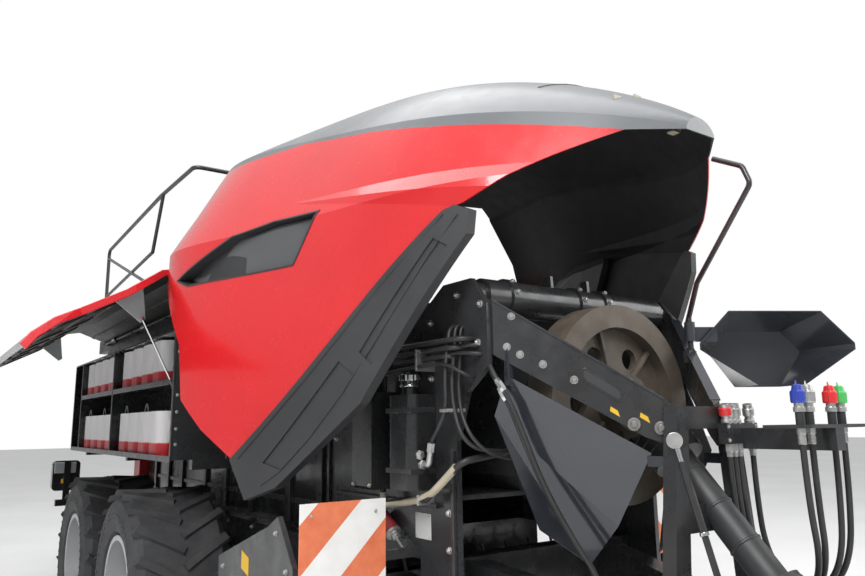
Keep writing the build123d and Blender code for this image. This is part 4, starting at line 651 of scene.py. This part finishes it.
# Oil tank: knurled breather as (z, radius, knurl), straps, elbow and fittings
BREATHER_X, BREATHER_Y, BREATHER_SIDES = -0.705, -2.230, 36
BREATHER = ((1.728, 0.040, 0.0), (1.736, 0.047, 0.0), (1.742, 0.047, 0.0), (1.744, 0.044, 0.0),
            (1.762, 0.044, 0.0), (1.764, 0.047, 0.003), (1.788, 0.047, 0.003), (1.793, 0.042, 0.0))
ELBOW = ((-0.715, -2.328, 1.400), (-0.715, -2.365, 1.400), (-0.715, -2.385, 1.402),
         (-0.715, -2.392, 1.425), (-0.715, -2.402, 1.470))
TANK_FITTINGS = (
    (((0.0, 0.021), (0.016, 0.021), (0.018, 0.018)), (-0.715, TANK_FRONT_Y + 0.001, 1.400), FORWARD, 6),
    (((0.0, 0.018), (0.036, 0.018), (0.038, 0.015)), (-0.715, -2.400, 1.455), (0, -0.2, 1), 6),
    (((0.0, 0.022), (0.010, 0.022), (0.014, 0.012), (0.022, 0.012)), (-0.725, TANK_FRONT_Y, 1.440),
     FORWARD, 6),
)


def oil_tank_details():
    bm = bmesh.new()
    rings = []
    for z, r, knurl in BREATHER:
        radii = (r, r + knurl) * (BREATHER_SIDES // 2)
        rings.append([(BREATHER_X + grow * c, BREATHER_Y + grow * s, z)
                      for grow, (c, s) in zip(radii, turns(BREATHER_SIDES))])
    skin(bm, rings)
    piece("breather_cap", bm, CHROME, 0.0008)
    bm = bmesh.new()
    for z in (1.36, 1.62):
        block(bm, (-0.7725, TANK_FRONT_Y - 0.0025, z), (-0.640, -2.1275, z + 0.022))
    piece("tank_straps", bm, STEEL, 0.002)
    line_piece("tank_elbow", ELBOW, 0.013, ZINC)
    turned("tank_fittings", TANK_FITTINGS, ZINC, 0.001)
    bolts("valve_bolts", [(VALVE_X, y, z) for y in (-2.035, -1.885) for z in (1.30, 1.70)], (-1, 0, 0),
          0.008)


oil_tank_details()

# Small hoses of the right-hand side: name, radius and course
BUNDLES = (
    ("bundle_drop_1", 0.0095, (
        (-0.634, -2.495, 1.985), (-0.672, -2.495, 1.985), (-0.690, -2.500, 1.900), (-0.712, -2.505, 1.760),
        (-0.716, -2.520, 1.640), (-0.716, -2.470, 1.560), (-0.715, -2.410, 1.500))),
    ("bundle_drop_2", 0.0095, (
        (-0.634, -2.515, 1.985), (-0.660, -2.515, 1.985), (-0.668, -2.520, 1.880), (-0.690, -2.522, 1.740),
        (-0.694, -2.545, 1.610), (-0.690, -2.600, 1.500), (-0.600, -2.625, 1.455), (-0.330, -2.625, 1.455),
        (-0.300, -2.560, 1.470), (-0.300, -2.478, 1.470))),
    ("bundle_drop_3", 0.0080, (
        (-0.634, -2.540, 1.975), (-0.652, -2.540, 1.975), (-0.655, -2.545, 1.860), (-0.672, -2.545, 1.720),
        (-0.676, -2.570, 1.600), (-0.672, -2.640, 1.500), (-0.560, -2.650, 1.430), (-0.330, -2.645, 1.420),
        (-0.305, -2.560, 1.420), (-0.305, -2.478, 1.420))),
    ("bundle_side_1", 0.0100, (
        (-0.690, -1.940, 1.718), (-0.690, -1.940, 1.835), (-0.684, -2.100, 1.862), (-0.680, -2.300, 1.872),
        (-0.676, -2.480, 1.890), (-0.664, -2.600, 1.890), (-0.648, -2.640, 1.890), (-0.634, -2.640, 1.890))),
    ("bundle_side_2", 0.0090, (
        (-0.716, -1.960, 1.718), (-0.716, -1.960, 1.812), (-0.702, -2.120, 1.836), (-0.698, -2.320, 1.846),
        (-0.690, -2.500, 1.862), (-0.674, -2.620, 1.858), (-0.650, -2.660, 1.852), (-0.634, -2.660, 1.852))),
    ("bundle_side_3", 0.0080, (
        (-0.724, -1.950, 1.718), (-0.724, -1.950, 1.790), (-0.728, -2.110, 1.812), (-0.728, -2.320, 1.818),
        (-0.720, -2.520, 1.822), (-0.700, -2.600, 1.780), (-0.662, -2.620, 1.760), (-0.634, -2.610, 1.760))),
    ("bundle_front_1", 0.0100, (
        (-0.628, -2.705, 1.800), (-0.640, -2.740, 1.760), (-0.622, -2.790, 1.690), (-0.560, -2.800, 1.560),
        (-0.480, -2.830, 1.330), (-0.370, -2.890, 1.100), (-0.300, -2.930, 0.980), (-0.285, -2.940, 0.883))),
    ("bundle_front_2", 0.0100, (
        (-0.618, -2.700, 1.780), (-0.620, -2.735, 1.730), (-0.598, -2.775, 1.650), (-0.540, -2.780, 1.520),
        (-0.455, -2.815, 1.300), (-0.350, -2.870, 1.090), (-0.285, -2.900, 0.990), (-0.270, -2.910, 0.887))),
)
BEIGE_COURSE = ((-0.702, -1.992, 1.262), (-0.702, -1.995, 1.210), (-0.702, -2.060, 1.214),
                (-0.702, -2.345, 1.256), (-0.702, -2.470, 1.335), (-0.702, -2.560, 1.398))
CLAMPS = (((-0.732, -2.548, 1.618), (-PLATE_X, -2.490, 1.632)),
          ((-0.738, -2.330, 1.800), (-PLATE_X, -2.318, 1.895)),
          ((-0.738, -2.050, 1.795), (-PLATE_X, -2.038, 1.875)),
          ((-0.722, -2.312, 1.228), (-PLATE_X, -2.298, 1.274)))
FERRULE = ((0.0, 0.012), (0.018, 0.015), (0.045, 0.015), (0.060, 0.012))
FERRULES = (((-0.640, -2.740, 1.760), (-0.620, -2.792, 1.680)),
            ((-0.620, -2.735, 1.730), (-0.598, -2.777, 1.640)))


def small_hoses():
    for name, radius, line in BUNDLES:
        line_piece(name, line, radius, HOSE)
    line_piece("beige_sleeve", BEIGE_COURSE, 0.0165, BEIGE)
    bm = bmesh.new()
    for low, high in CLAMPS:
        block(bm, low, high)
    piece("hose_clamps", bm, ZINC, 0.002)
    forms = []
    for start, end in FERRULES:
        way = Vector(end) - Vector(start)
        forms.append((FERRULE, Vector(start) + way * 0.2, way, 6))
    turned("hose_ferrules", forms, CHROME, 0.0008)


# Dark red cylinder under the valve box, and its rod
BOOT_AT = Vector((-0.672, -1.930, 1.155))
BOOT_WAY = Vector((0, -0.80, -0.55))
BOOT_FORM = ((0.0, 0.020), (0.006, 0.032), (0.110, 0.036), (0.125, 0.036))
BOOT_ROD = ((0.0, 0.039), (0.010, 0.039), (0.012, 0.020), (0.035, 0.020), (0.037, 0.009), (0.120, 0.009))


def red_cylinder():
    turned("red_boot", ((BOOT_FORM, BOOT_AT, BOOT_WAY, 28),), BOOT, 0.002)
    turned("boot_end", ((BOOT_ROD, BOOT_AT + BOOT_WAY.normalized() * 0.124, BOOT_WAY),), ZINC, 0.001)


small_hoses()
red_cylinder()

# Flywheel ribs as (radius, half width), and rings of the shaft guard as (distance, radius)
RIB = ((0.118, 0.010), (0.332, 0.010), (0.332, -0.010), (0.118, -0.010))
GUARD_RINGS = ((0.045, 0.108), (0.085, 0.108), (0.125, 0.108), (0.165, 0.108), (0.260, 0.064),
               (0.420, 0.064), (0.580, 0.064), (0.760, 0.093), (0.800, 0.093), (0.840, 0.093))


def drive_details():
    bolts("tube_bolts", [(x, TUBE_Y + TUBE_R * math.cos(a), TUBE_Z + TUBE_R * math.sin(a))
                         for x in (-0.42, 0.0, 0.17) for a in (2.2, 2.9)], (0, -0.9, 0.45), 0.010)
    bolts("gearbox_bolts", [(0.13 * c, GEARBOX_FRONT_Y, FLYWHEEL_Z + 0.13 * s) for c, s in turns(8)],
          FORWARD, 0.012)
    bolts("hub_bolts", [(0.088 * c, HUB_FRONT_Y, FLYWHEEL_Z + 0.088 * s) for c, s in turns(8)],
          FORWARD, 0.012, "flywheel_body")
    bm = bmesh.new()
    for c, s in turns(12, 0.26)[1::2]:
        prism(bm, [(r * c + w * s, WEB_Y, FLYWHEEL_Z + r * s - w * c) for r, w in RIB], (0, -0.022, 0))
    piece("flywheel_ribs", bm, CAST, 0.003, "flywheel_body")
    turned("shaft_guard_rings", [(((-0.006, r - 0.004), (-0.003, r), (0.003, r), (0.006, r - 0.004)),
                                  PTO_REAR + PTO_WAY.normalized() * d, PTO_WAY, 28) for d, r in GUARD_RINGS],
           PLASTIC)


drive_details()

# Hood: ribs inside as (y, reach to each side), brackets, scoop insets in dark grey lightened with painted sky
# reflection, and ridges on the skirts
HOOD_RIBS = ((-1.25, 0.62), (-1.75, 0.56), (-2.25, 0.48), (-2.75, 0.36))
RIB_STEP = 0.06
RIB_SECTION = ((-0.025, 0.002), (0.025, 0.002), (0.018, -0.024), (-0.018, -0.024))
LATCH_Y = -3.085
SCOOP = ((-0.900, 2.380), (-1.325, 2.545), (-1.600, 2.582), (-1.905, 2.574), (-1.768, 2.350),
         (-1.000, 2.346))
SCOOP_SHRINK, SCOOP_SHIFT_Y, SCOOP_SHIFT_Z = 0.96, -0.055, 0.098
OUTSIDE_X = 2.0  # where rays onto the hood's sides start
RIDGES = (
    ((-2.700, 2.405), (-2.560, 2.235), (-2.300, 1.900), (-2.150, 1.715), (-1.950, 1.520), (-1.760, 1.365),
     (-1.640, 1.300)),
    ((-2.640, 2.415), (-2.400, 2.205), (-2.150, 1.990), (-1.900, 1.778), (-1.650, 1.570), (-1.480, 1.420)),
)
RIDGE_SECTION = ((-0.003, -0.022), (0.006, -0.012), (0.006, 0.012), (-0.003, 0.022))


def hood_inside():
    for i, (y, reach) in enumerate(HOOD_RIBS):
        starts = [(x, y, 2.70) for x in [k * RIB_STEP - 0.60 for k in range(21)] if abs(x) <= reach]
        bm = bmesh.new()
        skin(bm, [[spot + Vector((0, dy, dz)) for dy, dz in RIB_SECTION]
                  for spot in hits("hood_cap", starts, UP)])
        piece(f"hood_rib_{i + 1}", bm, PLASTIC, 0.003, "hood")
    for i, x in enumerate((-0.20, -0.07, 0.08, 0.20)):
        for spot in hits("hood_cap", [(x, -3.06, 2.60)], UP):
            foot = spot.z - 0.070
            bm = bmesh.new()
            block(bm, (x - 0.022, LATCH_Y, foot), (x + 0.022, LATCH_Y + 0.006, spot.z + 0.002))
            block(bm, (x - 0.022, LATCH_Y, foot), (x + 0.022, LATCH_Y + 0.045, spot.z - 0.064))
            bolt(bm, (x, LATCH_Y, spot.z - 0.035), FORWARD, 0.008)
            piece(f"latch_bracket_{i + 1}", bm, BEIGE, 0.0012, "hood")


# A thin plate in each scoop's recess; its lighter grey is partly the plastic's own colour and partly painted
# sky reflection
def scoop_reflection_inset(side, label):
    starts = [(side * OUTSIDE_X, y * SCOOP_SHRINK + SCOOP_SHIFT_Y, z * SCOOP_SHRINK + SCOOP_SHIFT_Z)
              for y, z in SCOOP]
    spots = hits("hood_scoops", starts, (-side, 0, 0))
    if len(spots) > 3:
        bm = bmesh.new()
        prism(bm, spots, (side * 0.004, 0, 0))
        piece(f"scoop_reflection_inset_{label}", bm, SCOOP_GREY_AND_REFLECTION, 0.001, "hood")


def skirt_ridges(side, label):
    for k, row in enumerate(RIDGES):
        spots = hits("hood_skirts", [(side * OUTSIDE_X, y, z) for y, z in row], (-side, 0, 0))
        if len(spots) > 2:
            bm = bmesh.new()
            skin(bm, [[spot + Vector((side * out, 0.45 * w, -0.55 * w)) for out, w in RIDGE_SECTION]
                      for spot in spots])
            piece(f"skirt_ridge_{k + 1}_{label}", bm, PLASTIC, 0.002, "hood")


hood_inside()
both(scoop_reflection_inset)
both(skirt_ridges)

# Door of the left side, shut: skin in (x, z) from the hinge line and front edge in (z, y); then swung up
HINGE_Z = 2.400
HINGE = Vector((1.000, 0.0, HINGE_Z))
DOOR_SKIN = ((0.010, 0.042), (0.240, -0.110), (0.304, -0.240), (0.304, -0.520), (0.345, -0.820),
             (0.360, -0.940), (0.350, -1.090), (0.326, -1.175))
DOOR_EDGE = ((2.500, -0.533), (2.150, -0.533), (1.925, -0.690), (1.614, -0.700), (1.419, -0.850),
             (1.200, -1.050))
DOOR_REAR_Y = 2.930
OPEN = Matrix.Rotation(math.radians(-54.0), 3, "Y")
RIM_SECTION = ((0.002, 0.030), (0.002, -0.004), (-0.040, -0.004), (-0.040, 0.022))
# Long ribs: place, direction out of the door, and front end
LONG_RIBS = (((0.125, -0.034), (0.551, 0.834), -0.50), ((0.304, -0.330), (1.0, 0.0), -0.50),
             ((0.325, -0.670), (0.991, 0.135), -0.66), ((0.352, -0.880), (0.992, 0.124), -0.68),
             ((0.353, -1.030), (0.998, -0.067), -0.78), ((0.335, -1.140), (0.962, -0.271), -0.90))
LONG_RIB_SECTION = ((-0.022, 1.0), (-0.034, 0.6), (-0.034, -0.6), (-0.022, -1.0))
LONG_RIB_HALF = 0.022
CROSS_RIBS_Y = (-0.30, 0.55, 1.15, 1.75, 2.30, 2.90)
CROSS_RIB_OUT, CROSS_RIB_IN, CROSS_RIB_WIDE = 0.020, 0.036, 0.030
STRUT_BRACKET = ((0.281, -0.355), (0.281, -0.540), (0.099, -0.490), (0.099, -0.455))


def edge_y(z):
    for (z0, y0), (z1, y1) in zip(DOOR_EDGE, DOOR_EDGE[1:]):
        if z1 <= z <= z0:
            return y0 + (y1 - y0) * (z - z0) / (z1 - z0)
    return DOOR_EDGE[-1][1]


def raised(x, y, z, side):
    return mirrored(OPEN @ Vector((x, y, z)) + HINGE, side)


def along_skin():
    """Places down the door with the direction out of it: breaks of the skin and of the front edge."""
    places = []
    for (x0, z0), (x1, z1) in zip(DOOR_SKIN, DOOR_SKIN[1:]):
        length = math.hypot(x1 - x0, z1 - z0)
        out = ((z0 - z1) / length, (x1 - x0) / length)
        shares = ((z - HINGE_Z - z0) / (z1 - z0) for z, _ in DOOR_EDGE)
        stops = [0.0] + sorted(t for t in shares if 0.05 < t < 0.95)
        places += [(x0 + (x1 - x0) * t, z0 + (z1 - z0) * t, out) for t in stops]
    places.append((*DOOR_SKIN[-1], out))
    return places


def door_details(side, label):
    body = "door_" + label
    bm = bmesh.new()
    skin(bm, [[raised(x + ox * d, edge_y(z + HINGE.z) + dy, z + oz * d, side) for d, dy in RIM_SECTION]
              for x, z, (ox, oz) in along_skin()])
    piece(f"door_rim_{label}", bm, DOOR_RED, 0.004, body)
    bm = bmesh.new()
    for (x, z), (ox, oz), y0 in LONG_RIBS:
        tx, tz = -oz * LONG_RIB_HALF, ox * LONG_RIB_HALF
        prism(bm, [raised(x + ox * d + tx * w, y0, z + oz * d + tz * w, side) for d, w in LONG_RIB_SECTION],
              (0, DOOR_REAR_Y - y0, 0))
    lower = along_skin()[3:]
    for y in CROSS_RIBS_Y:
        near = [raised(x - ox * CROSS_RIB_OUT, y, z - oz * CROSS_RIB_OUT, side) for x, z, (ox, oz) in lower]
        far = [raised(x - ox * CROSS_RIB_IN, y, z - oz * CROSS_RIB_IN, side) for x, z, (ox, oz) in lower]
        prism(bm, near + far[::-1], (0, CROSS_RIB_WIDE, 0))
    piece(f"door_ribs_{label}", bm, DOOR_RIB, 0.002, body)
    bm = bmesh.new()
    for y in (-0.4245, 2.600):
        prism(bm, [raised(x, y, z, side) for x, z in STRUT_BRACKET], (0, 0.0115, 0))
    piece(f"door_brackets_{label}", bm, BRACKET, 0.001, body)


def twine_box_details(side, label):
    spots = [(side * 1.235, BOX_FRONT_Y, z) for z in (2.085, 2.02, 1.76, 1.66, 1.56, 1.47)]
    spots += [(side * 0.96, BOX_FRONT_Y, z) for z in (2.085, 1.76, 1.47)]
    bolts(f"box_bolts_{label}", spots, FORWARD, 0.008)
    inner, outer = side * BOX_X, side * 1.2655
    bm = bmesh.new()
    for z, y0, y1 in ((1.384, BOX_FRONT_Y, 2.800), (1.844, -0.410, 2.440)):
        block(bm, (inner, y0, z - 0.018), (outer, y1, z + 0.018))
    for y in (-0.494, 1.146, 2.436, 2.794):
        block(bm, (inner, y - 0.012, 1.40), (outer, y + 0.012, 2.15))
    piece(f"box_edges_{label}", bm, STEEL, 0.002)
    x, z = side * 1.205, 1.675
    for i, y in enumerate((0.325, 0.905, 1.694, 2.274)):
        line_piece(f"string_loop_{label}_{i + 1}", [(x, y - 0.05, z - 0.001), (x, y - 0.03, z + 0.05),
                                                    (x, y + 0.01, z + 0.06), (x, y + 0.05, z - 0.001)],
                   0.0022, LABEL)


both(door_details)
both(twine_box_details)

# Chamber, rails, pressing frame and chute
CHAMBER_RIBS_Y = (-1.22, -0.80, -0.20, 0.30, 0.75, 1.35, 1.75, 2.15)
CYLINDER_CAP = ((-0.002, 0.058), (0.012, 0.058), (0.016, 0.050), (0.016, 0.030), (0.030, 0.030),
                (0.034, 0.024))
CYLINDER_BAND = ((0.0, 0.058), (0.004, 0.061), (0.010, 0.061), (0.014, 0.058))


def chamber_details(side, label):
    x = side * CHAMBER_X
    bm = bmesh.new()
    for y in CHAMBER_RIBS_Y:
        prism(bm, [(x, y, 1.01), (x, y + 0.060, 1.01), (x, y + 0.060, 1.89), (x, y, 1.89)],
              (side * 0.022, 0, 0))
    for z in (1.12, 1.44, 1.76):
        block(bm, (x, -1.16, z), (side * 0.624, 2.45, z + 0.030))
    piece(f"chamber_ribs_{label}", bm, STEEL, 0.003)
    outward = (side, 0, 0)
    bolts(f"rail_bolts_{label}", [(side * RAIL_X, -1.30 + 0.42 * i, z) for i in range(11)
                                  for z in (0.84, 0.955)], outward, 0.010)
    bolts(f"press_bolts_{label}", [(side * PRESS_X, y, z) for y in (2.53, 2.67)
                                   for z in (1.05, 1.35, 1.65, 1.95)], outward, 0.012)
    bolts(f"chute_bolts_{label}", [(side * 0.550, 3.46 + 0.172 * i, 0.934) for i in range(5)], outward,
          0.012, "chute")


def roof_ribs():
    bm = bmesh.new()
    for x in (-0.45, -0.225, 0.0, 0.225, 0.45):
        for y0, y1 in ((-1.45, -0.52), (-0.36, 1.12), (1.28, 2.48)):
            block(bm, (x - 0.015, y0, CHAMBER_ROOF_Z), (x + 0.015, y1, CHAMBER_ROOF_Z + 0.016))
    piece("chamber_roof_ribs", bm, STEEL, 0.003)


def press_cylinder_caps(side, label):
    x, y = side * 0.300, 2.600
    turned(f"press_cylinder_caps_{label}", ((CYLINDER_CAP, (x, y, 2.06), UP, 28),
                                            (CYLINDER_BAND, (x, y, 1.930), UP, 28),
                                            (CYLINDER_BAND, (x, y, 1.965), UP, 28)), ZINC, 0.001)


both(chamber_details)
roof_ribs()
both(press_cylinder_caps)

# Lenses: name, look, reach in x, y of the face, span in z, how far they stand out, and bevel
LENSES = (
    ("lens_clear", CLEAR, (1.110, 1.300), 3.388, (0.985, 1.045), 0.012, 0.005),
    ("lens_amber", AMBER, (1.110, 1.300), 3.388, (1.055, 1.125), 0.012, 0.005),
    ("lens_red", TAIL_RED, (1.110, 1.300), 3.388, (1.135, 1.225), 0.012, 0.005),
    ("lamp_front_glass", CLEAR, (1.120, 1.318), 3.302, (1.130, 1.236), -0.012, 0.006),
    ("side_lamp", AMBER, (1.190, 1.250), 3.302, (1.030, 1.075), -0.014, 0.005),
)


def lenses(side, label):
    for name, look, (near, far), y, (z0, z1), proud, bevel in LENSES:
        x0, x1 = sorted((side * near, side * far))
        bm = bmesh.new()
        prism(bm, ((x0, y, z0), (x1, y, z0), (x1, y, z1), (x0, y, z1)), (0, proud, 0))
        piece(f"{name}_{label}", bm, look, bevel, segments=3)


# Wheels: profile of a hub cap, and a rib of the tyre wall as (radius, half width)
HUB_CAP = ((-0.002, 0.060), (0.014, 0.060), (0.030, 0.050), (0.036, 0.020))
BOLT_CIRCLE_R = 0.092
WALL_RIBS = 48
WALL_RIB = ((0.425, 0.007), (0.462, 0.009), (0.462, -0.009), (0.425, -0.007))
WALL_OUT = 0.2795  # from the middle of a tyre to 0.5 mm inside its wall
WALL_RIB_DEEP = 0.010


def wheel_details(end, y, side, label):
    body = f"wheel_{end}_{label}"
    spots = [(side * WHEEL_HUB_X, y + BOLT_CIRCLE_R * c, WHEEL_Z + BOLT_CIRCLE_R * s) for c, s in turns(10)]
    bolts(f"wheel_bolts_{end}_{label}", spots, (side, 0, 0), 0.012, body)
    turned(f"hub_cap_{end}_{label}", ((HUB_CAP, (side * WHEEL_HUB_X, y, WHEEL_Z), (side, 0, 0), 32),), SILVER,
           0.001, body)
    bm = bmesh.new()
    for x, deep in ((WHEEL_X + WALL_OUT, -WALL_RIB_DEEP), (WHEEL_X - WALL_OUT, WALL_RIB_DEEP)):
        for c, s in turns(WALL_RIBS):
            prism(bm, [(side * x, y + r * c + w * s, WHEEL_Z + r * s - w * c) for r, w in WALL_RIB],
                  (side * deep, 0, 0))
    piece(f"tyre_wall_{end}_{label}", bm, RUBBER, body=body)


both(lenses)
for end, y in WHEELS:
    for side, label in SIDES:
        wheel_details(end, y, side, label)

# Pick-up covers: bolts and sticker in (y, z)
COVER_BOLTS = ((-2.06, 0.98), (-1.95, 1.12), (-1.32, 0.90), (-1.32, 0.75), (-1.80, 0.50), (-2.08, 0.76))
STICKER = ((-1.650, 0.900), (-1.560, 0.925), (-1.560, 1.005), (-1.650, 0.980))


def cover_sticker():
    bm = bmesh.new()
    prism(bm, [(-COVER_X - 0.0005, y, z) for y, z in STICKER], (-0.0015, 0, 0))
    piece("cover_sticker", bm, YELLOW, 0.0004, "pickup")


def cover_details(side, label):
    bolts(f"cover_bolts_{label}", [(side * COVER_X, y, z) for y, z in COVER_BOLTS], (side, 0, 0), 0.010,
          "pickup")
    bolts(f"hazard_bolts_{label}", [(side * x, HAZARD_Y, z) for x in (0.87, 1.17) for z in (0.89, 1.21)],
          FORWARD, 0.006)


cover_sticker()
both(cover_details)
bolts("drawbar_bolts", [(x, -4.12, z) for x in (-0.045, 0.045) for z in (0.585, 0.695)], FORWARD, 0.010)


def floor_piece():
    mesh = bpy.data.meshes.new("floor")
    bm = bmesh.new()
    bmesh.ops.create_grid(bm, x_segments=8, y_segments=8, size=60.0)
    bm.to_mesh(mesh)
    bm.free()
    obj = bpy.data.objects.new("floor", mesh)
    obj.location = (0, 0, -0.002)
    scene.collection.objects.link(obj)
    mat, tree, bsdf = new_material("floor_pale")
    colour = ramp(tree, noise(tree, 0.6, 6.0), ((0.3, (0.74, 0.74, 0.74)), (0.7, (0.80, 0.80, 0.80))))
    tree.links.new(colour, bsdf.inputs["Base Color"])
    bsdf.inputs["Roughness"].default_value = 0.8
    mesh.materials.append(mat)


floor_piece()


def world_light():
    world = bpy.data.worlds.new("studio")
    scene.world = world
    world.use_nodes = True
    tree = world.node_tree
    tree.nodes.clear()
    out = tree.nodes.new("ShaderNodeOutputWorld")
    soft = tree.nodes.new("ShaderNodeBackground")
    coord = tree.nodes.new("ShaderNodeTexCoord")
    split = tree.nodes.new("ShaderNodeSeparateXYZ")
    tree.links.new(coord.outputs["Generated"], split.inputs[0])
    colour = ramp(tree, split.outputs["Z"], ((0.0, (0.42, 0.42, 0.42)), (0.25, (0.72, 0.73, 0.74)),
                                             (0.9, (1.0, 1.0, 1.0))))
    tree.links.new(colour, soft.inputs[0])
    soft.inputs[1].default_value = 0.75
    white = tree.nodes.new("ShaderNodeBackground")
    white.inputs[0].default_value = (1, 1, 1, 1)
    white.inputs[1].default_value = 1.0
    path = tree.nodes.new("ShaderNodeLightPath")
    blend = tree.nodes.new("ShaderNodeMixShader")
    tree.links.new(path.outputs["Is Camera Ray"], blend.inputs[0])
    tree.links.new(soft.outputs[0], blend.inputs[1])
    tree.links.new(white.outputs[0], blend.inputs[2])
    tree.links.new(blend.outputs[0], out.inputs[0])


world_light()


def area_light(name, place, aim, size, power):
    data = bpy.data.lights.new(name, "AREA")
    data.shape = "RECTANGLE"
    data.size, data.size_y = size
    data.energy = power
    obj = bpy.data.objects.new(name, data)
    obj.location = place
    obj.rotation_euler = (Vector(aim) - Vector(place)).to_track_quat("-Z", "Y").to_euler()
    scene.collection.objects.link(obj)


area_light("key", (-7.0, -7.5, 9.0), (0.0, -1.0, 1.8), (6.0, 4.0), 900.0)
area_light("fill", (7.0, -8.0, 6.0), (0.0, -2.0, 1.5), (6.0, 6.0), 350.0)
area_light("sky", (0.0, 0.0, 12.0), (0.0, 0.0, 0.0), (9.0, 12.0), 700.0)
